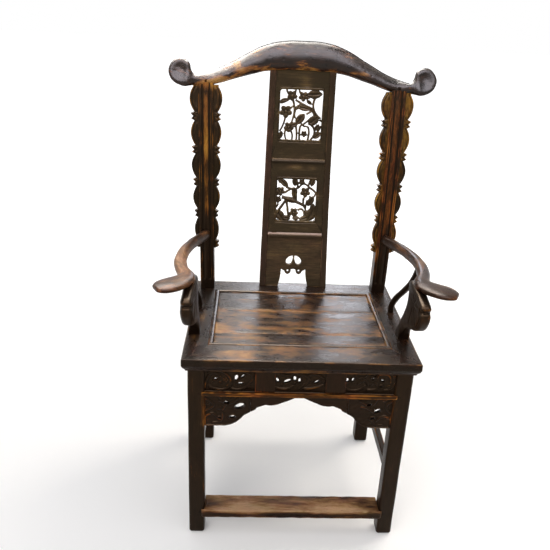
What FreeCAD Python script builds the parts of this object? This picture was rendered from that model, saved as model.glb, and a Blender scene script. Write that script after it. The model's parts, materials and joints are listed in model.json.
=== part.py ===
import FreeCAD, Part
import math
import os

# A yoke-back armchair: square legs, a mitred seat frame with a boarded panel, a carved
# waist and apron, a curved splat between two raked posts, and serpentine arms.
# X runs to the right as the chair is seen from the front, Y runs to the back, Z is up.
# Each piece is modelled about the middle of the seat, and at the end the chair is moved
# so that its origin is at the middle of its box, on the floor.

# Seat frame
seat_width = 550.0
seat_depth = 450.0
seat_height = 520.0
seat_frame_thickness = 34.0
seat_front_rail_width = 71.0
seat_back_rail_width = 62.0
seat_side_rail_width = 56.0
seat_edge_flat = 19.0
seat_ogee_inset = 9.0
seat_edge_round = 2.5
seat_square_mitre = 22.0

# Seat panel, its beads and battens
bead_width = 12.0
bead_rise = 2.0
board_ledge_width = 22.0
board_thickness = 10.5
board_rebate = 12.0
board_joint_front = 52.0
board_joint_back = 111.0
batten_width = 42.0
batten_thickness = 15.0
batten_spacing = 210.0

# Legs and rear posts
leg_width = 39.0
leg_side_inset = 13.0
leg_front_inset = 12.0
leg_back_inset = 16.0
leg_corner_round = 5.0
foot_round = 7.0
post_width = 38.0
post_depth = 37.0
post_rise = 545.0
post_rake = 57.5
post_splay = 9.5
post_groove_width = 4.0
post_groove_depth = 2.5
post_bead_width = 15.0
post_bead_foot = 26.0
post_scribe = 8.0

# Carved wings beside the rear posts
wing_foot_rise = 120.0
wing_top_gap = 5.0
wing_recess = 5.0
wing_thickness = 16.0
wing_tongue_thickness = 5.0
wing_tongue_depth = 5.0
wing_reach = 25.0
wing_lobe_count = 5
wing_crocket_height = 22.0
wing_neck_shares = (0.55, 0.45, 0.38, 0.28, 0.16, 0.22)
wing_swell_shares = (0.94, 0.84, 0.78, 0.68, 0.55)
wing_crocket_shares = ((0.0, 0.0), (0.2, 0.4), (0.52, 0.12), (0.8, 0.36), (1.0, 0.0))

# Crest rail
crest_overhang = 98.0
crest_over_posts = 79.5
crest_height = 75.0
crest_depth = 36.0
crest_drop = 67.5
crest_behind_posts = 13.0
crest_bow = 21.0
ear_radius = 30.0
ear_inset = 33.0
ear_drop = 43.5
ear_thickness = 30.0
ear_scoop_depth = 11.0
ear_scoop_rim = 4.0
ear_tilt = 45.0
ear_shares = (-0.62, -0.2, 0.2, 0.55, 0.82, 0.96)
ear_taper_share = 0.92
crest_squareness = 2.6
section_points = 16
# Along the half span, centre line drop, half height and half depth of each section.
crest_shares = (
    (0.0, 0.0, 1.0, 1.0),
    (0.13, 0.012, 0.985, 1.0),
    (0.26, 0.1, 0.87, 1.0),
    (0.4, 0.35, 0.69, 1.02),
    (0.5, 0.565, 0.58, 1.04),
    (0.64, 0.845, 0.48, 1.06),
    (0.74, 0.98, 0.43, 1.04),
    (0.805, 1.0, 0.38, 1.0),
)

# Splat
splat_foot_width = 192.0
splat_top_width = 174.0
splat_foot_inset = 20.0
splat_sag = 22.0
splat_top_drop = 37.5
splat_let_in = 12.0
stile_width = 17.0
stile_thickness = 17.0
panel_thickness = 9.0
panel_recess = 4.0
panel_tongue = 4.0
lower_ledge_rise = 147.0
upper_ledge_rise = 354.0
ledge_thickness = 12.0
ledge_proud = 3.0
ledge_bevel = 6.0
stile_tenon_depth = 14.0
stile_tenon_width = 9.0

# Openwork of the splat: each window over its ledge, then stems, leaves and flowers in shares
top_window_width = 114.0
top_window_rise = 56.0
top_window_height = 131.0
middle_window_width = 110.0
middle_window_rise = 39.0
middle_window_height = 116.0
window_corner = 6.0
carving_thickness = 7.0
stem_width = 6.5
# Stems run through three places, flowers have a radius, and leaves a length, width and turn.
top_spray_shares = {
    "stems": (
        ((-0.35, -0.05), (-0.52, 0.18), (-0.7, 0.52)),
        ((-0.22, -0.05), (-0.27, 0.18), (-0.2, 0.36)),
        ((0.36, -0.05), (0.6, 0.2), (0.92, 0.4)),
        ((-0.2, 0.36), (-0.34, 0.62), (-0.42, 0.9)),
        ((-0.2, 0.36), (-0.1, 0.62), (0.1, 0.72)),
        ((0.1, 0.72), (0.42, 0.68), (0.5, 0.4)),
        ((0.1, 0.72), (0.06, 0.9), (-0.1, 1.05)),
        ((0.5, 0.4), (0.74, 0.52), (0.98, 0.46)),
        ((-1.05, 0.3), (-0.8, 0.26), (-0.3, 0.3)),
        ((-1.05, 0.76), (-0.7, 0.84), (-0.42, 0.84)),
        ((0.42, 0.62), (0.55, 0.78), (0.5, 0.95)),
        ((-0.02, -0.05), (-0.12, 0.14), (0.1, 0.27)),
        ((0.26, -0.05), (0.3, 0.14), (0.1, 0.27)),
        ((0.1, 0.27), (0.34, 0.3), (0.5, 0.4)),
    ),
    "flowers": ((-0.74, 0.54, 0.29), (-0.42, 0.88, 0.2), (0.06, 0.84, 0.2), (0.12, 0.08, 0.17)),
    "leaves": (
        (-0.4, 0.3, 0.72, 0.3, 12),
        (-0.05, 0.42, 0.5, 0.24, 70),
        (0.2, 0.62, 0.6, 0.24, 10),
        (0.55, 0.36, 0.5, 0.34, 40),
        (0.62, 0.92, 0.72, 0.26, 2),
        (0.68, 0.14, 0.5, 0.22, 48),
        (-0.76, 0.08, 0.66, 0.2, 62),
        (-0.82, 0.8, 0.4, 0.16, 15),
        (0.86, 0.64, 0.52, 0.2, 35),
    ),
}
middle_spray_shares = {
    "stems": (
        ((-0.1, -0.05), (-0.16, 0.1), (0.02, 0.2)),
        ((0.2, -0.05), (0.26, 0.12), (0.02, 0.2)),
        ((-0.45, 0.1), (-0.5, 0.28), (-0.4, 0.42)),
        ((-1.05, 0.26), (-0.8, 0.36), (-0.4, 0.42)),
        ((-0.4, 0.42), (0.0, 0.36), (0.3, 0.24)),
        ((0.3, 0.24), (0.52, 0.3), (0.62, 0.5)),
        ((0.3, 0.24), (0.5, 0.1), (0.5, -0.05)),
        ((-0.4, 0.42), (-0.62, 0.58), (-1.05, 0.56)),
        ((0.1, 0.4), (-0.1, 0.6), (-0.06, 0.8)),
        ((-0.06, 0.8), (-0.3, 0.7), (-0.74, 0.72)),
        ((-0.06, 0.8), (0.3, 0.84), (0.62, 0.72)),
        ((0.62, 0.5), (0.84, 0.6), (1.05, 0.7)),
        ((0.62, 0.5), (0.8, 0.42), (0.84, 0.2)),
        ((-0.2, 1.05), (-0.22, 0.9), (-0.06, 0.8)),
        ((0.62, 0.72), (0.74, 0.9), (0.66, 1.05)),
    ),
    "flowers": ((-0.72, 0.88, 0.27), (0.42, 0.62, 0.24), (-0.02, 0.12, 0.14), (-0.84, 0.66, 0.16)),
    "leaves": (
        (-0.1, 0.62, 0.5, 0.22, 85),
        (0.0, 0.36, 0.76, 0.2, -12),
        (0.66, 0.24, 0.6, 0.3, 70),
        (-0.86, 0.22, 0.5, 0.24, 95),
        (0.2, 0.9, 0.46, 0.2, 55),
        (0.7, 0.86, 0.4, 0.18, 65),
        (-0.3, 0.92, 0.36, 0.18, 80),
        (0.66, 0.62, 0.4, 0.16, 125),
        (-0.62, 0.36, 0.42, 0.18, 30),
    ),
}

# Arch under the bottom panel
arch_half_width = 43.0
arch_height = 78.0
arch_scroll_radius = 9.0
arch_scroll_bore = 3.2
# Outlines in shares of the half width and of the height.
arch_opening_shares = (
    ((1.0, 0.0),),
    ((0.84, 0.2), (0.86, 0.46)),
    ((0.7, 0.36), (0.5, 0.34)),
    ((0.3, 0.33),),
    ((0.0, 0.4), (-0.3, 0.33)),
    ((-0.5, 0.34),),
    ((-0.7, 0.36), (-0.86, 0.46)),
    ((-0.84, 0.2), (-1.0, 0.0)),
)
arch_lobe_shares = (
    ((0.07, 0.98),),
    ((0.46, 0.86), (0.58, 0.64)),
    ((0.4, 0.54), (0.16, 0.6)),
    ((0.07, 0.78),),
)
arch_scroll_share = (0.37, 0.34)

# Arms, arm posts and side sticks
arm_rise = 160.0
arm_front_lift = 15.0
arm_overhang = 54.0
arm_front_inset = 3.9
arm_squareness = 2.3
arm_tenon_radius = 8.0
arm_tenon_depth = 16.0
arm_end_width = 64.0
arm_end_thickness = 22.0
# Sideways in shares of the reach, lengthways from the post in shares of the arm's run,
# rise, half width and half thickness of each section.
arm_shares = (
    (0.745, 0.0, -0.1, 0.36, 1.3),
    (0.785, 0.09, -0.04, 0.36, 1.28),
    (0.838, 0.215, 0.1, 0.38, 1.2),
    (0.878, 0.365, 0.26, 0.42, 1.15),
    (0.89, 0.525, 0.42, 0.46, 1.12),
    (0.873, 0.66, 0.56, 0.48, 1.1),
    (0.838, 0.765, 0.7, 0.5, 1.08),
    (0.812, 0.83, 0.8, 0.6, 1.06),
    (0.818, 0.885, 0.88, 0.76, 1.02),
    (0.862, 0.938, 0.96, 0.92, 0.92),
    (0.92, 0.985, 1.0, 0.96, 0.82),
    (0.962, 1.008, 1.0, 0.8, 0.7),
    (0.993, 1.022, 1.0, 0.42, 0.45),
)
arm_let_in = 5.0
arm_post_width = 28.0
arm_post_side_inset = 33.0
arm_post_foot_inset = 123.0
arm_post_foot_depth = 32.0
arm_post_belly_overhang = 13.0
arm_post_tenon = 14.0
# Side outline in shares of the run from the foot to the belly's front, and of the rise to
# the arm: the back edge upward, the blunt top, then the belly and the swept neck downward.
arm_post_shares = (
    ((-0.235, 0.0),),
    ((-0.206, 0.118),),
    ((-0.015, 0.27), (0.19, 0.41)),
    ((0.39, 0.64), (0.485, 1.0)),
    ((0.853, 1.0),),
    ((0.882, 0.87),),
    ((1.02, 0.79), (0.97, 0.64)),
    ((0.81, 0.506), (0.61, 0.412)),
    ((0.353, 0.33), (0.12, 0.19)),
    ((0.02, 0.12), (0.0, 0.0)),
)
arm_post_top_share = 0.67
stick_thickness = 16.0
stick_side_inset = 19.0
stick_foot_inset = 175.0
# Sideways, forward and upward in shares of the way from the foot to the arm's middle.
stick_shares = (
    (0.0, 0.0, 0.0),
    (0.03, 0.08, 0.17),
    (0.26, 0.3, 0.35),
    (0.6, 0.6, 0.55),
    (0.86, 0.83, 0.76),
    (1.0, 1.0, 1.0),
)
stick_arm_station = 4
stick_tenon_radius = 5.0
stick_tenon_depth = 12.0

# Waist under the seat
waist_panel_height = 58.0
waist_panel_thickness = 9.0
waist_recess = 5.0
waist_strut_recess = 2.0
waist_strut_width = 48.0
waist_strut_thickness = 14.0
waist_rail_height = 10.0
waist_rail_thickness = 24.0
waist_rail_proud = 3.0
waist_rail_shoulder = 8.0
waist_tongue = 4.0

# Apron
apron_thickness = 12.0
apron_recess = 4.0
apron_height = 87.0
apron_tongue = 8.0
apron_tongue_shares = (0.2, 0.8)
apron_top_rise = 3.0
bracket_share = 0.5135
# Lower edge from the leg to the middle, in shares of the half span and of the height.
bracket_edge_shares = (((1.0, 1.0),), ((0.8, 1.0),), ((0.68, 0.9), (0.586, 0.65)), ((0.5135, 0.535),))
apron_edge_shares = (
    ((0.46, 0.46),),
    ((0.45, 0.4),),
    ((0.36, 0.305),),
    ((0.27, 0.31), (0.19, 0.235)),
    ((0.11, 0.15), (0.054, 0.069)),
)
# Holes in shares of the half span and of the height: place, half length, half width, turn.
left_bracket_hole_shares = (
    (0.768, 0.25, 0.09, 0.045, 10),
    (0.631, 0.355, 0.14, 0.085, -28),
    (0.703, 0.71, 0.095, 0.055, -5),
    (0.84, 0.75, 0.06, 0.03, 20),
)
right_bracket_hole_shares = (
    (0.748, 0.243, 0.075, 0.045, 15),
    (0.842, 0.438, 0.1, 0.065, 28),
    (0.8, 0.685, 0.075, 0.04, 20),
)
# Holes of the waist panels: place in shares of half the width and of the height, then
# half length and half width in shares of the height, and turn.
waist_hole_shares = {
    "left": (
        (-0.54, 0.6, 0.055, 0.055, 0),
        (-0.355, 0.42, 0.04, 0.04, 0),
        (0.247, 0.64, 0.19, 0.085, 80),
        (0.517, 0.745, 0.13, 0.045, 50),
        (0.443, 0.395, 0.15, 0.06, 15),
    ),
    "centre": (
        (-0.88, 0.59, 0.14, 0.06, 115),
        (-0.49, 0.56, 0.2, 0.09, 30),
        (-0.25, 0.74, 0.11, 0.05, 110),
        (-0.02, 0.64, 0.16, 0.055, 88),
        (-0.215, 0.43, 0.045, 0.045, 0),
        (0.66, 0.567, 0.14, 0.06, 40),
    ),
    "right": (
        (-0.85, 0.71, 0.14, 0.09, 100),
        (-0.6, 0.72, 0.1, 0.055, 80),
        (0.086, 0.84, 0.11, 0.05, 110),
        (0.276, 0.89, 0.035, 0.035, 0),
        (0.505, 0.71, 0.08, 0.05, -30),
        (0.43, 0.4, 0.04, 0.04, 0),
    ),
}

# Stretchers and footrest
footrest_top = 80.0
footrest_thickness = 23.0
footrest_depth = 56.0
footrest_proud = 6.0
footrest_nosing = 9.0
stretcher_width = 16.0
stretcher_height = 27.0
side_stretcher_top = 192.0
rear_stretcher_top = 192.0

# Joints and pins
rail_tenon_depth = 15.0
rail_tenon_thickness = 7.0
rail_tenon_share = 0.6
leg_tenon = 20.0
leg_tenon_rise = 20.0
mitre_tenon_reach = 23.0
mitre_tenon_inset = 6.0
mitre_tenon_width = 18.0
mitre_tenon_height = 10.0
batten_tenon_depth = 8.0
crest_tenon_rise = 22.0
crest_tenon_width = 14.0
pin_radius = 2.5
pin_length = 18.0
pin_proud = 0.4
pin_clearance = 0.05
joint_clearance = 0.1
overrun = 40.0

# Worked out from the sizes above
half_width = seat_width / 2
front_edge = -seat_depth / 2
back_edge = seat_depth / 2
frame_underside = seat_height - seat_frame_thickness
bead_side = half_width - seat_side_rail_width
bead_front = front_edge + seat_front_rail_width
bead_back = back_edge - seat_back_rail_width
ledge_side = bead_side - board_ledge_width
ledge_front = bead_front + board_ledge_width
ledge_back = bead_back - board_ledge_width
rebate_floor = seat_height - board_rebate
leg_outer_side = half_width - leg_side_inset
leg_inner_side = leg_outer_side - leg_width
leg_middle_side = leg_outer_side - leg_width / 2
front_leg_front = front_edge + leg_front_inset
front_leg_back = front_leg_front + leg_width
rear_leg_back = back_edge - leg_back_inset
rear_leg_front = rear_leg_back - leg_width
post_middle = rear_leg_back - leg_width / 2
post_radius = (post_rise ** 2 + post_rake ** 2) / (2 * post_rake)
post_top = seat_height + post_rise
wing_foot_height = seat_height + wing_foot_rise
wing_top_height = post_top - wing_top_gap
crest_half_span = leg_middle_side + post_splay + crest_overhang
crest_middle_height = post_top + crest_over_posts
crest_back = post_middle + post_rake + crest_behind_posts
ear_side = crest_half_span - ear_inset
ear_height = crest_middle_height - ear_drop
splat_foot_back = back_edge - splat_foot_inset
splat_top_height = crest_middle_height - splat_top_drop
lower_ledge_height = seat_height + lower_ledge_rise
upper_ledge_height = seat_height + upper_ledge_rise
middle_window_foot = lower_ledge_height + middle_window_rise
top_window_foot = upper_ledge_height + top_window_rise
arm_height = seat_height + arm_rise
arm_front_height = arm_height + arm_front_lift
arm_reach = half_width + arm_overhang
arm_post_inner_side = half_width - arm_post_side_inset
arm_post_foot_front = front_edge + arm_post_foot_inset
arm_post_belly_front = front_edge - arm_post_belly_overhang
stick_foot_side = half_width - stick_side_inset
stick_foot_back = back_edge - stick_foot_inset
waist_foot = frame_underside - waist_panel_height
apron_top = waist_foot - waist_rail_height
between_legs = (-leg_inner_side, leg_inner_side)
front_legs = ("front_left_leg", "front_right_leg")
rear_posts = ("rear_left_post", "rear_right_post")

parts = {}
grooves = {}


def spot(across, up, axis, level):
    """A point of a flat outline: the outline's plane is square to the axis."""
    if axis == "x":
        return FreeCAD.Vector(level, across, up)
    if axis == "y":
        return FreeCAD.Vector(across, level, up)
    return FreeCAD.Vector(across, up, level)


def prism(steps, axis, low, high):
    """A flat outline pushed along an axis. A step of one point is a line to it,
    and a step of two points is an arc through the first to the second."""
    last = steps[-1][-1]
    edges = []
    for step in steps:
        ends = [spot(*point, axis, low) for point in step]
        start = spot(*last, axis, low)
        if len(ends) == 1:
            edges.append(Part.makeLine(start, ends[0]))
        else:
            edges.append(Part.Arc(start, ends[0], ends[1]).toShape())
        last = step[-1]
    face = Part.Face(Part.Wire(edges))
    return face.extrude(spot(0, 0, axis, high - low))


def straight(points):
    return [(point,) for point in points]


def box(low, high):
    corners = [sorted(pair) for pair in zip(low, high)]
    size = [pair[1] - pair[0] for pair in corners]
    return Part.makeBox(*size, FreeCAD.Vector(*[pair[0] for pair in corners]))


def grown(low, high, margin):
    corners = [sorted(pair) for pair in zip(low, high)]
    return box([pair[0] - margin for pair in corners], [pair[1] + margin for pair in corners])


def mirrored(shape):
    return shape.mirror(FreeCAD.Vector(0, 0, 0), FreeCAD.Vector(1, 0, 0))


def biggest(shape):
    return max(shape.Solids, key=lambda solid: solid.Volume)


def tenon(piece, hosts, low, high):
    """Adds a tenon to a piece and cuts its mortise, with clearance, in the hosts."""
    parts[piece] = parts[piece].fuse(box(low, high)).removeSplitter()
    for host in hosts:
        parts[host] = parts[host].cut(grown(low, high, joint_clearance))


def arc_frame(first, middle, last):
    """Centre of the arc through three points of the Y-Z plane, and its radius, which
    is below zero where the centre lies in front of the arc."""
    arc = Part.Arc(*[FreeCAD.Vector(0, *point) for point in (first, middle, last)]).toShape().Curve
    return arc.Center.y, arc.Center.z, math.copysign(arc.Radius, arc.Center.y - middle[0])


def arc_band(centre, behind, before, low, high, half_reach):
    """The part between two heights of a large ring, which reaches behind and before its middle line."""
    centre_back, centre_height, radius = centre
    angles = [math.asin((height - centre_height) / abs(radius)) for height in (low, high)]

    def at(distance, angle):
        return (centre_back - distance * math.cos(angle), centre_height + abs(distance) * math.sin(angle))

    near = radius + before
    far = radius - behind
    middle = sum(angles) / 2
    steps = [
        (at(near, angles[0]),),
        (at(near, middle), at(near, angles[1])),
        (at(far, angles[1]),),
        (at(far, middle), at(far, angles[0])),
    ]
    return prism(steps, "x", -half_reach, half_reach)


def closed_section(middle, side, up, half_side, half_up, squareness, count):
    """A closed rounded section: a superellipse drawn round its middle."""
    points = []
    for index in range(count):
        turn = 2 * math.pi * index / count
        cosine = math.cos(turn)
        sine = math.sin(turn)
        along = math.copysign(abs(cosine) ** (2 / squareness), cosine) * half_side
        above = math.copysign(abs(sine) ** (2 / squareness), sine) * half_up
        points.append(middle + side * along + up * above)
    curve = Part.BSplineCurve()
    curve.interpolate(Points=points, PeriodicFlag=True)
    return Part.Wire(curve.toShape())


# Rear posts

def post_arc():
    return post_middle + post_radius, seat_height, post_radius


def post_side(height):
    """Middle of the right post, sideways, at a height above the seat."""
    return leg_middle_side + post_splay * (height - seat_height) / post_rise


def post_strip(near_side, far_side, low, high):
    """A prism whose edges run along the splayed post, from front to back."""
    edge = [
        (post_side(low) + near_side, low),
        (post_side(low) + far_side, low),
        (post_side(high) + far_side, high),
        (post_side(high) + near_side, high),
    ]
    return prism(straight(edge), "y", 0, seat_depth)


def post_middle_back(height):
    return post_middle + post_radius - math.sqrt(post_radius ** 2 - (height - seat_height) ** 2)


def make_rear_post():
    foot = box((leg_inner_side, rear_leg_front, 0), (leg_outer_side, rear_leg_back, frame_underside))
    foot = rounded_leg(foot)
    top = post_top + post_scribe
    band = arc_band(post_arc(), post_depth / 2, post_depth / 2, seat_height, top, seat_width)
    upper = band.common(post_strip(-post_width / 2, post_width / 2, seat_height, top + overrun))
    through = box(
        (leg_middle_side - post_width / 2, post_middle - post_depth / 2, frame_underside),
        (leg_middle_side + post_width / 2, post_middle + post_depth / 2, seat_height),
    )
    post = foot.fuse([through, upper]).removeSplitter()
    ring = arc_band(
        post_arc(), post_groove_depth - post_depth / 2, post_depth / 2 + overrun,
        seat_height + post_bead_foot, top + overrun, seat_width,
    )
    for side in (-1, 1):
        near = side * post_bead_width / 2
        far = near + side * post_groove_width
        strip = post_strip(min(near, far), max(near, far), seat_height + post_bead_foot, top + overrun)
        post = post.cut(ring.common(strip))
    return post


def rounded_leg(leg):
    """Softens a square leg's long edges and its foot."""
    upright = [edge for edge in leg.Edges if abs(edge.tangentAt(edge.FirstParameter).z) > 0.5]
    leg = leg.makeFillet(leg_corner_round, upright)
    floor = [edge for edge in leg.Edges if edge.BoundBox.ZMax < foot_round / 2]
    return leg.makeChamfer(foot_round / 2, floor)


def make_front_leg():
    leg = box((leg_inner_side, front_leg_front, 0), (leg_outer_side, front_leg_back, frame_underside))
    return rounded_leg(leg)


# Wings

def wing_outline(side):
    """Edge of one carved strip, from its top down: lobes with a leafy crocket at each neck."""
    root = side * post_width / 2
    span = wing_top_height - wing_foot_height
    pitch = span / wing_lobe_count

    def at(height, reach_share):
        return (post_side(height) + root + side * reach_share * wing_reach, height)

    steps = [(at(wing_top_height, wing_neck_shares[0]),)]
    for index in range(wing_lobe_count):
        start = wing_top_height - pitch * index
        lobe = pitch - wing_crocket_height
        swell = at(start - lobe / 2, wing_swell_shares[index])
        neck_share = wing_neck_shares[index + 1]
        neck = start - lobe
        steps.append((swell, at(neck, neck_share)))
        for drop_share, spur_share in wing_crocket_shares[1:]:
            drop = drop_share * wing_crocket_height
            steps.append((at(neck - drop, neck_share + spur_share),))
    steps.append((at(wing_foot_height, 0),))
    steps.append((at(wing_top_height, 0),))
    return steps


def make_wing(side):
    front = post_depth / 2 - wing_recess
    band = arc_band(
        post_arc(), wing_thickness - front, front,
        wing_foot_height - wing_crocket_height, wing_top_height + overrun, seat_width,
    )
    return band.common(prism(wing_outline(side), "y", 0, seat_depth))


def wing_tongue(side, margin):
    middle = post_depth / 2 - wing_recess - wing_thickness / 2
    half = wing_tongue_thickness / 2 + margin
    root = side * post_width / 2
    inner = root - side * (wing_tongue_depth + margin)
    band = arc_band(
        post_arc(), half - middle, half + middle,
        wing_foot_height - margin, wing_top_height + margin, seat_width,
    )
    low = wing_foot_height - overrun
    high = wing_top_height + overrun
    return band.common(post_strip(min(inner, root), max(inner, root), low, high))


# Crest rail

def crest_back_at(side):
    return crest_back - crest_bow * (side / crest_half_span) ** 2


def crest_stations():
    """Centre, direction, half height and half depth along the right half of the rail."""
    stations = []
    for along, drop, height, depth in crest_shares:
        side = along * crest_half_span
        stations.append((side, crest_middle_height - drop * crest_drop,
                         height * crest_height / 2, depth * crest_depth / 2))
    rise = math.radians(ear_tilt)
    for share in ear_shares:
        out = share * ear_radius
        half = math.sqrt(ear_radius ** 2 - out ** 2)
        stations.append((ear_side + out * math.cos(rise), ear_height + out * math.sin(rise),
                         half, ear_thickness / 2 * math.sqrt(1 - (share * ear_taper_share) ** 2)))
    return stations


def make_crest_rail():
    right = crest_stations()
    left = [(-side, height, half, depth) for side, height, half, depth in reversed(right[1:])]
    line = left + right
    sections = []
    for index, (side, height, half, depth) in enumerate(line):
        before = line[max(index - 1, 0)]
        after = line[min(index + 1, len(line) - 1)]
        run = FreeCAD.Vector(after[0] - before[0], 0, after[1] - before[1]).normalize()
        up = FreeCAD.Vector(-run.z, 0, run.x)
        middle = FreeCAD.Vector(side, crest_back_at(side), height)
        across = FreeCAD.Vector(0, 1, 0)
        sections.append(closed_section(middle, across, up, depth, half, crest_squareness, section_points))
    rail = Part.makeLoft(sections, True, False)
    scoop = ear_scoop()
    return rail.cut([scoop, mirrored(scoop)])


def ear_scoop():
    """A ball that dishes the front of the right ear and leaves a thin rim."""
    rim = ear_radius - ear_scoop_rim
    ball_radius = (rim ** 2 + ear_scoop_depth ** 2) / (2 * ear_scoop_depth)
    floor = crest_back_at(ear_side) - ear_thickness / 2 + ear_scoop_depth
    return Part.makeSphere(ball_radius, FreeCAD.Vector(ear_side, floor - ball_radius, ear_height))


def build_back():
    crest = make_crest_rail()
    post = make_rear_post()
    post = biggest(post.cut(crest))
    wings = {"outer": 1, "inner": -1}
    for place, side in wings.items():
        wing = make_wing(side).fuse(wing_tongue(side, 0)).removeSplitter()
        post = post.cut(wing_tongue(side, joint_clearance))
        parts["right_" + place + "_wing"] = wing
        parts["left_" + place + "_wing"] = mirrored(wing)
    parts["crest_rail"] = crest
    parts["rear_right_post"] = post
    parts["rear_left_post"] = mirrored(post)
    top = post_top
    back = post_middle_back(top)
    half = crest_tenon_width / 2
    for name, side in (("rear_right_post", 1), ("rear_left_post", -1)):
        middle = side * post_side(top)
        low = (middle - crest_tenon_width, back - half, top - crest_tenon_rise)
        high = (middle + crest_tenon_width, back + half, top + crest_tenon_rise)
        tenon(name, ["crest_rail"], low, high)


# Seat

def mitred(shape, place):
    """Keeps one side of the seat frame, with its corners cut at the mitre."""
    square_side = half_width - seat_square_mitre
    square_front = front_edge + seat_square_mitre
    square_back = back_edge - seat_square_mitre
    front_mitre = [(half_width, front_edge), (square_side, square_front), (ledge_side, ledge_front)]
    back_mitre = [(half_width, back_edge), (square_side, square_back), (ledge_side, ledge_back)]
    outlines = {
        "front": front_mitre + other_side(front_mitre),
        "back": back_mitre + other_side(back_mitre),
        "right": front_mitre + back_mitre[::-1],
    }
    return shape.common(prism(straight(outlines[place]), "z", 0, seat_height + overrun))


def other_side(points):
    """The same points on the left, walked from the last to the first."""
    return [(-side, back) for side, back in reversed(points)]


def rail_profile(edge, bead_edge, ledge_edge, inward):
    """Section of a seat rail: moulded outside, rebated inside for bead and boards."""
    flat_foot = seat_height - seat_edge_flat
    ogee_middle = (flat_foot + frame_underside) / 2
    foot_edge = edge + inward * seat_ogee_inset
    round_share = 1 - math.sqrt(0.5)
    return [
        ((edge + inward * seat_edge_round, seat_height),),
        ((edge + inward * seat_edge_round * round_share, seat_height - seat_edge_round * round_share),
         (edge, seat_height - seat_edge_round)),
        ((edge, flat_foot),),
        ((edge + inward * seat_ogee_inset / 4, flat_foot - seat_ogee_inset / 4 * math.sqrt(2)),
         (edge + inward * seat_ogee_inset / 2, ogee_middle)),
        ((foot_edge - inward * seat_ogee_inset / 4, frame_underside + seat_ogee_inset / 4),
         (foot_edge, frame_underside)),
        ((ledge_edge, frame_underside),),
        ((ledge_edge, rebate_floor),),
        ((bead_edge, rebate_floor),),
        ((bead_edge, seat_height),),
    ]


def bead_profile(outer, inward):
    """Section of a bead strip: a rebate's depth high, with a rounded top."""
    inner = outer + inward * bead_width
    return [
        ((outer, seat_height),),
        (((outer + inner) / 2, seat_height + bead_rise), (inner, seat_height)),
        ((inner, rebate_floor),),
        ((outer, rebate_floor),),
    ]


def build_seat():
    reach = half_width
    front = prism(rail_profile(front_edge, bead_front, ledge_front, 1), "x", -reach, reach)
    back = prism(rail_profile(back_edge, bead_back, ledge_back, -1), "x", -reach, reach)
    right = prism(rail_profile(half_width, bead_side, ledge_side, -1), "y", front_edge, back_edge)
    parts["seat_front_rail"] = mitred(front, "front")
    parts["seat_back_rail"] = mitred(back, "back")
    parts["seat_right_rail"] = mitred(right, "right")
    parts["seat_left_rail"] = mirrored(parts["seat_right_rail"])

    inner_side = bead_side - bead_width
    inner_front = bead_front + bead_width
    inner_back = bead_back - bead_width
    front_mitre = [(bead_side, bead_front), (inner_side, inner_front)]
    back_mitre = [(bead_side, bead_back), (inner_side, inner_back)]
    mitre = {
        "front": front_mitre + other_side(front_mitre),
        "back": back_mitre + other_side(back_mitre),
        "right": front_mitre + back_mitre[::-1],
    }
    strips = {
        "front": prism(bead_profile(bead_front, 1), "x", -bead_side, bead_side),
        "back": prism(bead_profile(bead_back, -1), "x", -bead_side, bead_side),
        "right": prism(bead_profile(bead_side, -1), "y", bead_front, bead_back),
    }
    for place, strip in strips.items():
        corner_cut = prism(straight(mitre[place]), "z", 0, seat_height + overrun)
        parts["seat_" + place + "_bead"] = strip.common(corner_cut)
    parts["seat_left_bead"] = mirrored(parts["seat_right_bead"])

    joints = [inner_front, inner_front + board_joint_front, inner_back - board_joint_back, inner_back]
    for place, near, far in zip(("front", "middle", "back"), joints, joints[1:]):
        low = (joint_clearance - inner_side, near + joint_clearance, rebate_floor)
        high = (inner_side - joint_clearance, far - joint_clearance, rebate_floor + board_thickness)
        parts["seat_" + place + "_board"] = box(low, high)

    for place, side in (("left", -1), ("right", 1)):
        middle = side * batten_spacing / 2
        low = (middle - batten_width / 2, ledge_front, rebate_floor - batten_thickness)
        high = (middle + batten_width / 2, ledge_back, rebate_floor)
        parts["seat_" + place + "_batten"] = box(low, high)

    for name, side in (("right", 1), ("left", -1)):
        join_seat_side(name, side)


def join_seat_side(name, side):
    """The joints at one side of the seat: leg, post, mitres and batten."""
    side_rail = "seat_" + name + "_rail"
    middle = side * leg_middle_side
    leg_middle = (front_leg_front + front_leg_back) / 2
    half = leg_tenon / 2
    low = (middle - half, leg_middle - half, frame_underside)
    high = (middle + half, leg_middle + half, frame_underside + leg_tenon_rise)
    tenon("front_" + name + "_leg", ["seat_front_rail", side_rail], low, high)

    low = (middle - post_width / 2, post_middle - post_depth / 2, frame_underside)
    high = (middle + post_width / 2, post_middle + post_depth / 2, seat_height + overrun)
    for host in ("seat_back_rail", side_rail):
        parts[host] = parts[host].cut(grown(low, high, joint_clearance))

    level = (frame_underside + rebate_floor) / 2
    batten_middle = side * batten_spacing / 2
    batten_level = rebate_floor - batten_thickness / 2
    for rail, edge, outward in (("seat_front_rail", ledge_front, -1), ("seat_back_rail", ledge_back, 1)):
        near = edge + outward * mitre_tenon_inset
        far = near + outward * mitre_tenon_width
        root = side * (ledge_side + mitre_tenon_inset / 2)
        low = (root, near, level - mitre_tenon_height / 2)
        high = (root + side * mitre_tenon_reach, far, level + mitre_tenon_height / 2)
        tenon(rail, [side_rail], low, high)
        near = edge - outward * joint_clearance
        far = edge + outward * batten_tenon_depth
        low = (batten_middle - batten_width / 4, near, batten_level - batten_thickness / 4)
        high = (batten_middle + batten_width / 4, far, batten_level + batten_thickness / 4)
        tenon("seat_" + name + "_batten", [rail], low, high)


# Splat

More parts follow.
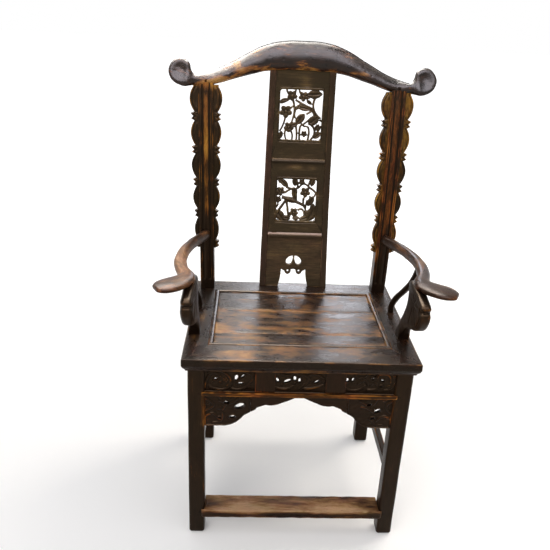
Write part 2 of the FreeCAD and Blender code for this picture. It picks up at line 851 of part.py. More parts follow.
def splat_arc():
    middle_height = (seat_height + splat_top_height) / 2
    middle_back = (splat_foot_back + crest_back) / 2 + splat_sag
    return arc_frame(
        (splat_foot_back, seat_height), (middle_back, middle_height), (crest_back, splat_top_height)
    )


def splat_half(height):
    share = (height - seat_height) / (splat_top_height - seat_height)
    return (splat_foot_width + (splat_top_width - splat_foot_width) * share) / 2


def splat_band(front, thickness, low, high):
    """A sheet on the splat's curve, its front measured from the middle line."""
    return arc_band(splat_arc(), thickness - front, front, low, high, splat_foot_width)


def tapered(left_inset, right_inset, low, high):
    """A prism between two lines that follow the splat's edges, both measured from its right edge."""
    edge = [
        (splat_half(low) - left_inset, low),
        (splat_half(low) - right_inset, low),
        (splat_half(high) - right_inset, high),
        (splat_half(high) - left_inset, high),
    ]
    return prism(straight(edge), "y", 0, seat_depth)


def between_stiles(low, high, tongue):
    half_low = splat_half(low) - stile_width + tongue
    half_high = splat_half(high) - stile_width + tongue
    edge = [(-half_low, low), (half_low, low), (half_high, high), (-half_high, high)]
    return prism(straight(edge), "y", 0, seat_depth)


def build_splat():
    top = splat_top_height + splat_let_in
    stile = splat_band(stile_thickness / 2, stile_thickness, seat_height - overrun, top)
    stile = stile.common(tapered(stile_width, 0, seat_height, top + overrun))
    parts["splat_right_stile"] = stile
    parts["splat_left_stile"] = mirrored(stile)

    half_ledge = ledge_thickness / 2
    ledges = {"lower": lower_ledge_height, "upper": upper_ledge_height}
    edge = half_ledge - panel_tongue
    fields = {
        "bottom": (seat_height, lower_ledge_height - edge),
        "middle": (lower_ledge_height + edge, upper_ledge_height - edge),
        "top": (upper_ledge_height + edge, top),
    }
    for place, (low, high) in fields.items():
        parts["splat_" + place + "_panel"] = splat_field(low, high, 0)
        grooves[place] = splat_field(low, high, joint_clearance)
        cut_stiles(grooves[place])

    front = stile_thickness / 2 + ledge_proud
    half_tenon = edge / 2
    for place, height in ledges.items():
        low = height - half_ledge
        high = height + half_ledge
        rail = splat_band(front, stile_thickness + ledge_proud, low - overrun, high + overrun)
        rail = rail.common(between_stiles(low, high, 0))
        rail = rail.cut(ledge_bevel_cut(high)).cut(list(grooves.values()))
        rail = biggest(rail).fuse(splat_field(height - half_tenon, height + half_tenon, 0))
        cut_stiles(splat_field(height - half_tenon, height + half_tenon, joint_clearance))
        parts["splat_" + place + "_rail"] = rail


def splat_field(low, high, margin):
    """A panel that reaches into the stiles' grooves, or its groove with a margin all round."""
    front = stile_thickness / 2 - panel_recess + margin
    sheet = splat_band(front, panel_thickness + 2 * margin, low - overrun, high + overrun)
    bottom = max(low - margin, seat_height)
    return sheet.common(between_stiles(bottom, high + margin, panel_tongue + margin))


def cut_stiles(groove):
    for name in ("splat_left_stile", "splat_right_stile"):
        parts[name] = parts[name].cut(groove)


def splat_front_back(height, front):
    """How far back the splat's front face stands at a height."""
    centre_back, centre_height, radius = splat_arc()
    near = radius + front
    return centre_back - math.copysign(math.sqrt(near ** 2 - (height - centre_height) ** 2), radius)


def ledge_bevel_cut(top):
    """A wedge that slopes a ledge's top edge down to the front."""
    front = splat_front_back(top, stile_thickness / 2 + ledge_proud)
    back = front + ledge_bevel
    foot = top - ledge_bevel
    outside = front - overrun
    above = top + overrun
    slope = [(outside, above), (back, above), (back, top), (front, foot), (outside, foot)]
    return prism(straight(slope), "x", -splat_foot_width, splat_foot_width)


# Openwork

def strip_along(places, half):
    """Outline of a stem: a band of even width along an arc through three places."""
    first, last = places[0], places[-1]
    run = math.hypot(last[0] - first[0], last[1] - first[1])
    square = (-(last[1] - first[1]) / run * half, (last[0] - first[0]) / run * half)
    left = [(x + square[0], z + square[1]) for x, z in places]
    right = [(x - square[0], z - square[1]) for x, z in places]
    return [(left[0],), (left[1], left[2]), (right[2],), (right[1], right[0])]


def leaf_outline(across, up, half_length, half_width, turn):
    """Two arcs that meet in points, turned about the leaf's middle."""
    cosine = math.cos(math.radians(turn))
    sine = math.sin(math.radians(turn))

    def at(along, aside):
        return (across + along * cosine - aside * sine, up + along * sine + aside * cosine)

    return [(at(0, half_width), at(half_length, 0)), (at(0, -half_width), at(-half_length, 0))]


def oval_prism(across, up, half_length, half_width, turn, axis, low, high):
    """A cutter with an oval outline, its long side turned from level."""
    cosine = math.cos(math.radians(turn))
    sine = math.sin(math.radians(turn))
    ends = [(across + half_length * cosine, up + half_length * sine),
            (across - half_width * sine, up + half_width * cosine),
            (across - half_length * cosine, up - half_length * sine),
            (across + half_width * sine, up - half_width * cosine)]
    middle = spot(across, up, axis, low)
    if half_length <= half_width:
        edges = [Part.Circle(middle, spot(0, 0, axis, 1), half_length).toShape()]
    else:
        edges = [Part.Ellipse(spot(*ends[0], axis, low), spot(*ends[1], axis, low), middle).toShape()]
    return Part.Face(Part.Wire(edges)).extrude(spot(0, 0, axis, high - low))


def spray(window_width, window_foot, window_height, shares):
    """Stems, flowers and leaves of one window, as one flat carving."""
    half = window_width / 2

    def at(place):
        return (place[0] * half, window_foot + place[1] * window_height)

    pieces = []
    for places in shares["stems"]:
        outline = strip_along([at(place) for place in places], stem_width / 2)
        pieces.append(prism(outline, "y", 0, seat_depth))
    for across, up, radius in shares["flowers"]:
        middle = at((across, up))
        pieces.append(oval_prism(*middle, radius * half, radius * half, 0, "y", 0, seat_depth))
    for across, up, length, width, turn in shares["leaves"]:
        middle = at((across, up))
        outline = leaf_outline(*middle, length * half / 2, width * half / 2, turn)
        pieces.append(prism(outline, "y", 0, seat_depth))
    low = (-half, 0, window_foot)
    high = (half, seat_depth, window_foot + window_height)
    return pieces[0].fuse(pieces[1:]).common(grown(low, high, panel_tongue))


def pierce_panel(name, window_width, window_foot, window_height, shares):
    """Opens a window in a splat panel and fills it with its carving."""
    low = (-window_width / 2, 0, window_foot)
    high = (window_width / 2, seat_depth, window_foot + window_height)
    window = box(low, high)
    upright = [edge for edge in window.Edges if abs(edge.tangentAt(edge.FirstParameter).y) > 0.5]
    window = window.makeFillet(window_corner, upright)
    front = stile_thickness / 2 - panel_recess - (panel_thickness - carving_thickness) / 2
    window_top = window_foot + window_height
    sheet = splat_band(front, carving_thickness, window_foot - overrun, window_top + overrun)
    carving = spray(window_width, window_foot, window_height, shares).common(sheet)
    parts[name] = parts[name].cut(window).fuse(carving)


def pierce_arch():
    """Cuts the arch, its two lobes and the scrolls between them."""
    def at(place):
        return (place[0] * arch_half_width, seat_height + place[1] * arch_height)

    def outline(shares, side):
        return [tuple((side * at(place)[0], at(place)[1]) for place in step) for step in shares]

    panel = parts["splat_bottom_panel"]
    front = stile_thickness / 2 - panel_recess
    sheet = splat_band(front, panel_thickness, seat_height, seat_height + arch_height)
    panel = panel.cut(prism(outline(arch_opening_shares, 1), "y", 0, seat_depth))
    scroll_side, scroll_height = at(arch_scroll_share)
    for side in (-1, 1):
        panel = panel.cut(prism(outline(arch_lobe_shares, side), "y", 0, seat_depth))
        middle = (side * scroll_side, scroll_height)
        scroll = oval_prism(*middle, arch_scroll_radius, arch_scroll_radius, 0, "y", 0, seat_depth)
        panel = panel.fuse(scroll.common(sheet))
        panel = panel.cut(oval_prism(*middle, arch_scroll_bore, arch_scroll_bore, 0, "y", 0, seat_depth))
    parts["splat_bottom_panel"] = panel


# Arms and what carries them

def arm_line():
    """Middle, half width and half thickness of each section of the right arm."""
    root = post_middle_back(arm_height) - post_depth / 2 + arm_let_in
    run = root - front_edge - arm_front_inset
    line = []
    for side, along, rise, width, thickness in arm_shares:
        middle = FreeCAD.Vector(side * arm_reach, root - along * run,
                                arm_height + rise * (arm_front_height - arm_height))
        line.append((middle, width * arm_end_width / 2, thickness * arm_end_thickness / 2))
    return line


def make_arm():
    line = arm_line()
    up = FreeCAD.Vector(0, 0, 1)
    sections = []
    for index, (middle, half_side, half_up) in enumerate(line):
        run = line[min(index + 1, len(line) - 1)][0] - line[max(index - 1, 0)][0]
        side = FreeCAD.Vector(-run.y, run.x, 0).normalize()
        section = closed_section(middle, side, up, half_side, half_up, arm_squareness, section_points)
        sections.append(section)
    return Part.makeLoft(sections, True, False)


def arm_post_spot(along, rise):
    """A place on the arm post's side, from shares of its run and rise."""
    run = arm_post_belly_front - arm_post_foot_front
    return (arm_post_foot_front + along * run, seat_height + rise * (arm_front_height - seat_height))


def make_arm_post():
    """The goose-neck: a board sawn to a swept outline."""
    steps = [tuple(arm_post_spot(*place) for place in step) for step in arm_post_shares]
    return prism(steps, "x", arm_post_inner_side, arm_post_inner_side + arm_post_width)


def stick_line():
    foot = FreeCAD.Vector(stick_foot_side, stick_foot_back, seat_height)
    reach = arm_line()[stick_arm_station][0] - foot
    return [foot + FreeCAD.Vector(reach.x * side, reach.y * back, reach.z * rise)
            for side, back, rise in stick_shares]


def make_stick():
    """A thin prop of round sections that sweeps outward from the seat to the arm."""
    line = stick_line()
    half = stick_thickness / 2
    sections = []
    for index, middle in enumerate(line):
        run = line[min(index + 1, len(line) - 1)] - line[max(index - 1, 0)]
        if index == 0:
            run = FreeCAD.Vector(0, 0, 1)
        side = FreeCAD.Vector(run.z, 0, -run.x).normalize()
        up = run.cross(side).normalize()
        sections.append(closed_section(middle, side, up, half, half, 2, section_points))
    return Part.makeLoft(sections, True, False)


def round_tenon(piece, host, foot, along, radius, length):
    """A round tenon on a piece, and its bore in the host with clearance all round."""
    axis = FreeCAD.Vector(*along)
    start = FreeCAD.Vector(*foot)
    bore_radius = radius + joint_clearance
    bore_length = length + 2 * joint_clearance
    bore = Part.makeCylinder(bore_radius, bore_length, start - axis * joint_clearance, axis)
    parts[piece] = parts[piece].fuse(Part.makeCylinder(radius, length, start, axis))
    parts[host] = parts[host].cut(bore)


def end_solid(shape, direction):
    """Of the solids left by a cut, the one that lies furthest in a direction."""
    return max(shape.Solids, key=lambda solid: solid.CenterOfMass.dot(FreeCAD.Vector(*direction)))


def build_arms():
    arm = make_arm()
    post = end_solid(make_arm_post().cut(arm), (0, 0, -1))
    stick = end_solid(make_stick().cut(arm), (0, 0, -1))
    parts["right_arm"] = arm
    parts["right_arm_post"] = post
    parts["right_arm_stick"] = stick
    for piece in ("arm", "arm_post", "arm_stick"):
        parts["left_" + piece] = mirrored(parts["right_" + piece])
    for name, side in (("right", 1), ("left", -1)):
        join_arm(name, side)


def join_arm(name, side):
    """Fits one arm to its rear post, and tenons its two supports into arm and seat."""
    arm = name + "_arm"
    rear_post = "rear_" + name + "_post"
    seat_rail = "seat_" + name + "_rail"
    up = (0, 0, 1)
    parts[arm] = end_solid(parts[arm].cut(parts[rear_post]), (0, -1, 0))
    root = arm_line()[0][0]
    foot = (side * root.x, root.y - arm_let_in, root.z)
    round_tenon(arm, rear_post, foot, (0, 1, 0), arm_tenon_radius, arm_tenon_depth + arm_let_in)

    tenon_foot = (arm_height + arm_front_height) / 2 - arm_end_thickness * 3 / 4
    post_across = side * (arm_post_inner_side + arm_post_width / 2)
    top = (post_across, arm_post_spot(arm_post_top_share, 0)[0], tenon_foot)
    round_tenon(name + "_arm_post", arm, top, up, arm_tenon_radius, arm_end_thickness)
    foot = (post_across, arm_post_foot_front + arm_post_foot_depth / 2, seat_height - arm_post_tenon)
    round_tenon(name + "_arm_post", seat_rail, foot, up, arm_tenon_radius, arm_post_tenon * 3 / 2)

    stick_top = stick_line()[-1]
    top = (side * stick_top.x, stick_top.y, tenon_foot)
    round_tenon(name + "_arm_stick", arm, top, up, stick_tenon_radius, arm_end_thickness)
    foot = (side * stick_foot_side, stick_foot_back, seat_height - stick_tenon_depth)
    round_tenon(name + "_arm_stick", seat_rail, foot, up, stick_tenon_radius, stick_tenon_depth * 3 / 2)


# Waist

def corner(axis, run, square, level):
    """A corner of a box that runs along X or along Y."""
    return (run, square, level) if axis == "x" else (square, run, level)


def end_tenons(piece, hosts, axis, reach, square, level, height):
    """Tenons at both ends of a cross piece, let into the legs beside it."""
    half = rail_tenon_thickness / 2
    for host, root, sign in zip(hosts, reach, (-1, 1)):
        low = corner(axis, root - sign * joint_clearance, square - half, level - height / 2)
        high = corner(axis, root + sign * rail_tenon_depth, square + half, level + height / 2)
        tenon(piece, [host], low, high)


def waist_strut_middle():
    """The struts split the waist into three openings of one width."""
    opening = (2 * leg_inner_side - 2 * waist_strut_width) / 3
    return (opening + waist_strut_width) / 2


def build_front_waist():
    rail_front = front_leg_front - waist_rail_proud
    shoulder = leg_inner_side + waist_rail_shoulder
    outline = [
        (-leg_inner_side, rail_front + waist_rail_thickness),
        (leg_inner_side, rail_front + waist_rail_thickness),
        (leg_inner_side, front_leg_front),
        (shoulder, front_leg_front),
        (shoulder - waist_rail_proud, rail_front),
        (waist_rail_proud - shoulder, rail_front),
        (-shoulder, front_leg_front),
        (-leg_inner_side, front_leg_front),
    ]
    parts["front_waist_rail"] = prism(straight(outline), "z", apron_top, waist_foot)
    end_tenons("front_waist_rail", front_legs, "x", between_legs, front_leg_front + leg_width / 4,
               apron_top + waist_rail_height / 2, waist_rail_height * rail_tenon_share)

    strut_front = front_leg_front + waist_strut_recess
    middle = waist_strut_middle()
    for name, side in (("left", -1), ("right", 1)):
        low = (side * middle - waist_strut_width / 2, strut_front, waist_foot)
        high = (side * middle + waist_strut_width / 2, strut_front + waist_strut_thickness, frame_underside)
        parts["front_" + name + "_waist_strut"] = box(low, high)

    near = middle - waist_strut_width / 2
    far = middle + waist_strut_width / 2
    spans = {
        "left": (-leg_inner_side, -far, ("front_left_leg", "front_left_waist_strut")),
        "centre": (-near, near, ("front_left_waist_strut", "front_right_waist_strut")),
        "right": (far, leg_inner_side, ("front_right_waist_strut", "front_right_leg")),
    }
    panel_front = front_leg_front + waist_recess
    panel_back = panel_front + waist_panel_thickness
    for place, (low_side, high_side, hosts) in spans.items():
        low = (low_side - waist_tongue, panel_front, waist_foot - waist_tongue)
        high = (high_side + waist_tongue, panel_back, frame_underside + waist_tongue)
        panel = box(low, high)
        for host in hosts + ("front_waist_rail", "seat_front_rail"):
            parts[host] = parts[host].cut(grown(low, high, joint_clearance))
        centre = (low_side + high_side) / 2
        half = (high_side - low_side) / 2
        for across, up, length, width, turn in waist_hole_shares[place]:
            hole = oval_prism(centre + across * half, waist_foot + up * waist_panel_height,
                              length * waist_panel_height, width * waist_panel_height,
                              turn, "y", front_edge, front_edge + overrun)
            panel = panel.cut(hole)
        parts["front_" + place + "_waist_panel"] = panel


def build_plain_waist(name, axis, reach, face, inward, legs, seat_rail):
    """The plain waist board and rail of a side or of the back."""
    start, end = reach
    rail_face = face - inward * waist_rail_proud
    rail_back = rail_face + inward * waist_rail_thickness
    rail_name = name + "_waist_rail"
    low_corner = corner(axis, start, rail_face, apron_top)
    parts[rail_name] = box(low_corner, corner(axis, end, rail_back, waist_foot))
    end_tenons(rail_name, legs, axis, reach, (rail_face + rail_back) / 2,
               apron_top + waist_rail_height / 2, waist_rail_height * rail_tenon_share)

    board_face = face + inward * waist_recess
    board_back = board_face + inward * waist_panel_thickness
    low = corner(axis, start, board_face, waist_foot - waist_tongue)
    high = corner(axis, end, board_back, frame_underside + waist_tongue)
    parts[name + "_waist_board"] = box(low, high)
    for host in (rail_name, seat_rail):
        parts[host] = parts[host].cut(grown(low, high, joint_clearance))


# Aprons

def apron_edge(middle, half_span, side, shares):
    """The lower edge of one half of an apron, from the leg to the middle."""
    def at(place):
        return (middle + side * place[0] * half_span, apron_top - place[1] * apron_height)

    return [tuple(at(place) for place in step) for step in shares]


def walked_back(steps):
    """The same line from its end to its start."""
    ends = [step[-1] for step in steps]
    back = [(ends[-1],)]
    for index in range(len(steps) - 1, 0, -1):
        back.append(steps[index][:-1] + (ends[index - 1],))
    return back


def apron_end_tongue(piece, host, axis, root, sign, face, inward):
    """The tongue on one end of an apron, let into the leg beside it."""
    near = face + inward * apron_thickness / 4
    far = face + inward * apron_thickness * 3 / 4
    level_high, level_low = [apron_top - share * apron_height for share in apron_tongue_shares]
    low = corner(axis, root - sign * joint_clearance, near, level_low)
    high = corner(axis, root + sign * apron_tongue, far, level_high)
    tenon(piece, [host], low, high)


def apron_top_tongue(piece, host, axis, start, end, face, inward):
    """The tongue along an apron's top, let into the waist rail above it."""
    near = face + inward * apron_thickness / 4
    far = face + inward * apron_thickness * 3 / 4
    low = corner(axis, start + apron_tongue, near, apron_top - joint_clearance)
    high = corner(axis, end - apron_tongue, far, apron_top + apron_top_rise)
    tenon(piece, [host], low, high)


def build_front_apron():
    face = front_leg_front + apron_recess
    half_span = leg_inner_side
    join = bracket_share * half_span
    hole_tables = {"left": left_bracket_hole_shares, "right": right_bracket_hole_shares}
    for name, side in (("left", -1), ("right", 1)):
        steps = apron_edge(0, half_span, side, bracket_edge_shares)
        steps += straight([(side * join, apron_top), (side * half_span, apron_top)])
        bracket = prism(steps, "y", face, face + apron_thickness)
        for across, down, length, width, turn in hole_tables[name]:
            hole = oval_prism(side * across * half_span, apron_top - down * apron_height,
                              length * apron_height, width * apron_height,
                              side * turn, "y", front_edge, front_edge + overrun)
            bracket = bracket.cut(hole)
        piece = "front_" + name + "_bracket"
        parts[piece] = bracket
        apron_end_tongue(piece, "front_" + name + "_leg", "x", side * half_span, side, face, 1)
        start, end = sorted((side * join, side * half_span))
        apron_top_tongue(piece, "front_waist_rail", "x", start, end, face, 1)

    join_height = apron_top - bracket_edge_shares[-1][-1][1] * apron_height
    right = apron_edge(0, half_span, 1, apron_edge_shares)
    left = apron_edge(0, half_span, -1, apron_edge_shares)
    steps = straight([(join, apron_top), (join, join_height)]) + right + walked_back(left)
    steps += straight([(-join, join_height), (-join, apron_top)])
    parts["front_apron_centre"] = prism(steps, "y", face, face + apron_thickness)
    apron_top_tongue("front_apron_centre", "front_waist_rail", "x", -join, join, face, 1)


def build_plain_apron(name, axis, reach, face, inward, legs):
    """One scalloped board, without openwork, for a side or for the back."""
    middle = (reach[0] + reach[1]) / 2
    half_span = (reach[1] - reach[0]) / 2
    shares = bracket_edge_shares + apron_edge_shares
    far = apron_edge(middle, half_span, 1, shares)
    near = apron_edge(middle, half_span, -1, shares)
    steps = straight([(reach[0], apron_top), (reach[1], apron_top)]) + far + walked_back(near)
    piece = name + "_apron"
    parts[piece] = prism(steps, "y" if axis == "x" else "x", face, face + inward * apron_thickness)
    for leg, root, sign in zip(legs, reach, (-1, 1)):
        apron_end_tongue(piece, leg, axis, root, sign, face, inward)
    apron_top_tongue(piece, name + "_waist_rail", axis, *reach, face, inward)


def build_sides_and_rear():
    side_reach = (front_leg_back, rear_leg_front)
    for name, side in (("left", -1), ("right", 1)):
        face = side * leg_outer_side
        legs = ("front_" + name + "_leg", "rear_" + name + "_post")
        build_plain_waist(name, "y", side_reach, face, -side, legs, "seat_" + name + "_rail")
        build_plain_apron(name, "y", side_reach, face - side * apron_recess, -side, legs)
    build_plain_waist("rear", "x", between_legs, rear_leg_back, -1, rear_posts, "seat_back_rail")
    build_plain_apron("rear", "x", between_legs, rear_leg_back - apron_recess, -1, rear_posts)


# Footrest and stretchers

def build_stretchers():
    front = front_leg_front - footrest_proud
    shoulder = leg_inner_side + footrest_nosing
    outline = [
        (-leg_inner_side, front + footrest_depth),
        (leg_inner_side, front + footrest_depth),
        (leg_inner_side, front_leg_front),
        (shoulder, front_leg_front),
        (shoulder - footrest_proud, front),
        (footrest_proud - shoulder, front),
        (-shoulder, front_leg_front),
        (-leg_inner_side, front_leg_front),
    ]
    foot = footrest_top - footrest_thickness
    parts["front_footrest"] = prism(straight(outline), "z", foot, footrest_top)
    end_tenons("front_footrest", front_legs, "x", between_legs, front_leg_front + leg_width / 2,
               foot + footrest_thickness / 2, footrest_thickness * rail_tenon_share)
    side_reach = (front_leg_back, rear_leg_front)
    for name, side in (("left", -1), ("right", 1)):
        legs = ("front_" + name + "_leg", "rear_" + name + "_post")
        build_stretcher(name, legs, "y", side_reach, side * leg_middle_side, side_stretcher_top)
    build_stretcher("rear", rear_posts, "x", between_legs, post_middle, rear_stretcher_top)


def build_stretcher(name, legs, axis, reach, middle, top):
    """A plain bar between two legs, tenoned at both ends."""
    half = stretcher_width / 2
    low = corner(axis, reach[0], middle - half, top - stretcher_height)
    high = corner(axis, reach[1], middle + half, top)
    parts[name + "_stretcher"] = box(low, high)
    end_tenons(name + "_stretcher", legs, axis, reach, middle, top - stretcher_height / 2,
               stretcher_height * rail_tenon_share)


# Joints of the splat, and the pegs

def join_splat():
    """Lets the splat's top into the crest rail, and tenons its stiles into the seat."""
    foot = splat_top_height - overrun
    top = splat_top_height + splat_let_in + joint_clearance
    half = splat_half(splat_top_height) + joint_clearance
    front = stile_thickness / 2 + joint_clearance
    groove = splat_band(front, stile_thickness + 2 * joint_clearance, foot, top)
    groove = groove.common(box((-half, 0, foot), (half, seat_depth, top)))
    parts["crest_rail"] = parts["crest_rail"].cut(groove)
    stile_middle = splat_half(seat_height) - stile_width / 2
    half = stile_tenon_width / 2
    for name, side in (("left", -1), ("right", 1)):
        middle = side * stile_middle
        low = (middle - half, splat_foot_back - half, seat_height - stile_tenon_depth)
        high = (middle + half, splat_foot_back + half, seat_height + joint_clearance)
        tenon("splat_" + name + "_stile", ["seat_back_rail"], low, high)


def add_pegs():
    """Small pins that lock the tenons, all of one size."""
    backward = FreeCAD.Vector(0, 1, 0)
    crest_level = post_top + crest_tenon_rise / 2
    crest_side = post_side(crest_level)
    crest_front = crest_back_at(crest_side) - crest_depth / 2 * crest_shares[-2][3]
    seat_level = seat_height - seat_edge_flat / 2
    leg_peg_side = leg_inner_side + rail_tenon_depth - pin_radius
    waist_level = apron_top + waist_rail_height / 2
    footrest_level = footrest_top - footrest_thickness / 2
    stretcher_level = side_stretcher_top - stretcher_height / 2
    near_back = front_leg_back - rail_tenon_depth / 2
    far_back = rear_leg_front + rail_tenon_depth / 2
    pegs = []
    for name, side in (("left", -1), ("right", 1)):
        leg = "front_" + name + "_leg"
        post = "rear_" + name + "_post"
        stretcher = name + "_stretcher"
        inward = FreeCAD.Vector(-side, 0, 0)
        peg_side = side * leg_peg_side
        outer_side = side * leg_outer_side
        spots = [
            ((side * crest_side, crest_front, crest_level), backward, ("crest_rail", post)),
            ((side * leg_middle_side, front_edge, seat_level), backward, ("seat_front_rail",)),
            ((peg_side, front_leg_front, waist_level), backward, (leg, "front_waist_rail")),
            ((peg_side, front_leg_front, footrest_level), backward, (leg, "front_footrest")),
            ((outer_side, near_back, stretcher_level), inward, (leg, stretcher)),
            ((outer_side, far_back, stretcher_level), inward, (post, stretcher)),
        ]
        for place, along, hosts in spots:
            start = FreeCAD.Vector(*place) - along * pin_proud
            pegs.append(Part.makeCylinder(pin_radius, pin_length, start, along))
            bore_radius = pin_radius + pin_clearance
            bore = Part.makeCylinder(bore_radius, pin_length + pin_clearance, start, along)
            for host in hosts:
                parts[host] = parts[host].cut(bore)
    parts["pegs"] = Part.makeCompound(pegs)


def main():
    for name, side in (("right", 1), ("left", -1)):
        leg = make_front_leg()
        parts["front_" + name + "_leg"] = leg if side > 0 else mirrored(leg)
    build_back()
    build_seat()
    build_splat()
    pierce_panel("splat_top_panel", top_window_width, top_window_foot, top_window_height, top_spray_shares)
    pierce_panel("splat_middle_panel", middle_window_width, middle_window_foot, middle_window_height,
                 middle_spray_shares)
    pierce_arch()
    join_splat()
    build_arms()
    build_front_waist()
    build_front_apron()
    build_sides_and_rear()
    build_stretchers()
    add_pegs()

    whole = Part.makeCompound(list(parts.values())).optimalBoundingBox()
    shift = FreeCAD.Vector(-(whole.XMin + whole.XMax) / 2, -(whole.YMin + whole.YMax) / 2, -whole.ZMin)
    os.makedirs("parts", exist_ok=True)
    for name, shape in parts.items():
        shape.translate(shift)
        shape.exportStep("parts/" + name + ".step")


main()
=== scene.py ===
import json
import math

import bmesh
import bpy
import numpy as np
from mathutils import Matrix, Vector, kdtree


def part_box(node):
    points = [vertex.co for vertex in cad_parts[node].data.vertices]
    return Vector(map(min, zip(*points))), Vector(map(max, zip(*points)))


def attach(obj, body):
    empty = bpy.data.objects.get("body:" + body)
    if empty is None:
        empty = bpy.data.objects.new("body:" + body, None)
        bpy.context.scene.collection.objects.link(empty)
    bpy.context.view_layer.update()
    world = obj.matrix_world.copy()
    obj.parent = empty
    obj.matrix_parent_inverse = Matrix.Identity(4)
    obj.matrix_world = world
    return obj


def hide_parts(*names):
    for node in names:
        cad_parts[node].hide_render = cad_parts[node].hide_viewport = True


# A yoke-back armchair in dark lacquered elm, rubbed down to bare wood by long use.
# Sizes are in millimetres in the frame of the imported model: X to the right, Y to the back, Z up.

mm = 0.001
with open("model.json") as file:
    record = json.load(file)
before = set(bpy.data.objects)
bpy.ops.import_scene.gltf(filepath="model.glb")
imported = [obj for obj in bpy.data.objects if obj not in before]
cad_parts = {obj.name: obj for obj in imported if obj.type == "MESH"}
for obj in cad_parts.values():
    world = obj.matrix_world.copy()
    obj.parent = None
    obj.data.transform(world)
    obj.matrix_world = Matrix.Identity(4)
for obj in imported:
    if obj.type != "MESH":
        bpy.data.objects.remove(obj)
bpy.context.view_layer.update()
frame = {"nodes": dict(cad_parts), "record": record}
slotOf = {part["node"]: part["material_slot"] for part in frame["record"]["subparts"]}
coarse = 1.0  # a coarser mesh while trying things


def nodeBox(node):
    low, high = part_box(node)
    return np.array(low) / mm, np.array(high) / mm


seat = {
    "halfWidth": nodeBox("seat_right_rail")[1][0],
    "front": nodeBox("seat_front_rail")[0][1],
    "back": nodeBox("seat_back_rail")[1][1],
    "top": nodeBox("seat_front_rail")[1][2],
    "underside": nodeBox("seat_front_rail")[0][2],
    "frontWidth": 71.0,
    "backWidth": 62.0,
    "sideWidth": 56.0,
    "ledge": 22.0,
    "rebate": 12.0,
    "edgeFlat": 19.0,
    "edgeStep": 1.2,
    "ogeeInset": 9.0,
    "arris": 3.0,
    "squareMitre": 22.0,
    "beadWidth": 12.0,
    "beadRise": 2.2,
    "beadSunk": 0.6,
}
seatMiddle = (seat["front"] + seat["back"]) / 2


# Numbers and fields

def ease(low, high, value):
    share = np.clip((np.asarray(value, float) - low) / (high - low), 0, 1)
    return share * share * (3 - 2 * share)


def waver(points, length, seed, waves=7):  # a smooth random field from -1 to 1, about one swing per length
    chance = np.random.default_rng(seed)
    total = np.zeros(len(points))
    for _ in range(waves):
        direction = chance.normal(size=3)
        direction *= chance.uniform(0.6, 1.5) / (np.linalg.norm(direction) * length)
        total += np.sin(2 * math.pi * (points @ direction) + chance.uniform(0, 2 * math.pi))
    return total * 2 / waves


def alongLine(points, line):  # distance along a bent line, and the offset from it
    line = np.asarray(line, float)
    best = np.full(len(points), 1e9)
    along = np.zeros(len(points))
    offset = np.zeros((len(points), 3))
    start = 0.0
    for first, last in zip(line[:-1], line[1:]):
        run = last - first
        length = np.linalg.norm(run)
        share = np.clip(((points - first) @ run) / length ** 2, 0, 1)
        away = points - first - share[:, None] * run
        distance = np.linalg.norm(away, axis=1)
        nearer = distance < best
        best[nearer] = distance[nearer]
        along[nearer] = start + share[nearer] * length
        offset[nearer] = away[nearer]
        start += length
    return along, offset, best


def nearWalls(points, normals, through):  # distance to a flat piece's nearest edge, seen through that axis
    walls = points.copy()
    walls[:, through] = 0
    tree = kdtree.KDTree(len(walls))
    for index in np.flatnonzero(np.abs(normals[:, through]) < 0.5):
        tree.insert(walls[index], index)
    tree.balance()
    return np.array([tree.find(place)[2] for place in walls])


# Meshes

def getPoints(mesh):
    flat = np.empty(len(mesh.vertices) * 3, np.float32)
    mesh.vertices.foreach_get("co", flat)
    return flat.reshape(-1, 3).astype(float) / mm


def getNormals(mesh):
    flat = np.empty(len(mesh.vertices) * 3, np.float32)
    mesh.vertex_normals.foreach_get("vector", flat)
    return flat.reshape(-1, 3).astype(float)


def setPoints(mesh, points):
    mesh.vertices.foreach_set("co", (points * mm).astype(np.float32).ravel())
    mesh.update()


def meshFrom(points, faces):
    mesh = bpy.data.meshes.new("shape")
    mesh.from_pydata((np.asarray(points, float) * mm).tolist(), [], faces)
    tidyMesh(mesh)
    return mesh


def tidyMesh(mesh):
    work = bmesh.new()
    work.from_mesh(mesh)
    bmesh.ops.remove_doubles(work, verts=work.verts, dist=0.01 * mm)
    bmesh.ops.recalc_face_normals(work, faces=work.faces)
    work.to_mesh(mesh)
    work.free()


def loft(rings, closedPath=False):
    rings = np.asarray(rings, float)
    count, around = rings.shape[:2]
    faces = []
    for ring in range(count if closedPath else count - 1):
        here, there = ring * around, (ring + 1) % count * around
        for spot in range(around):
            beside = (spot + 1) % around
            faces.append((here + spot, here + beside, there + beside, there + spot))
    if not closedPath:
        faces.append(tuple(range(around))[::-1])
        faces.append(tuple(range((count - 1) * around, count * around)))
    return meshFrom(rings.reshape(-1, 3), faces)


def joinMeshes(meshes):
    work = bmesh.new()
    for mesh in meshes:
        work.from_mesh(mesh)
    joined = bpy.data.meshes.new("joined")
    work.to_mesh(joined)
    work.free()
    return joined


def evaluatedMesh(mesh, addModifiers):
    carrier = bpy.data.objects.new("carrier", mesh)
    bpy.context.scene.collection.objects.link(carrier)
    addModifiers(carrier)
    graph = bpy.context.evaluated_depsgraph_get()
    result = bpy.data.meshes.new_from_object(carrier.evaluated_get(graph))
    bpy.data.objects.remove(carrier)
    return result


def remeshed(mesh, voxel, rounds):  # one skin over everything in the mesh, with softened edges
    def addModifiers(carrier):
        remesh = carrier.modifiers.new("remesh", "REMESH")
        remesh.mode = "VOXEL"
        remesh.voxel_size = voxel * coarse * mm
        soften = carrier.modifiers.new("soften", "SMOOTH")
        soften.factor = 0.5
        soften.iterations = rounds
    return evaluatedMesh(mesh, addModifiers)


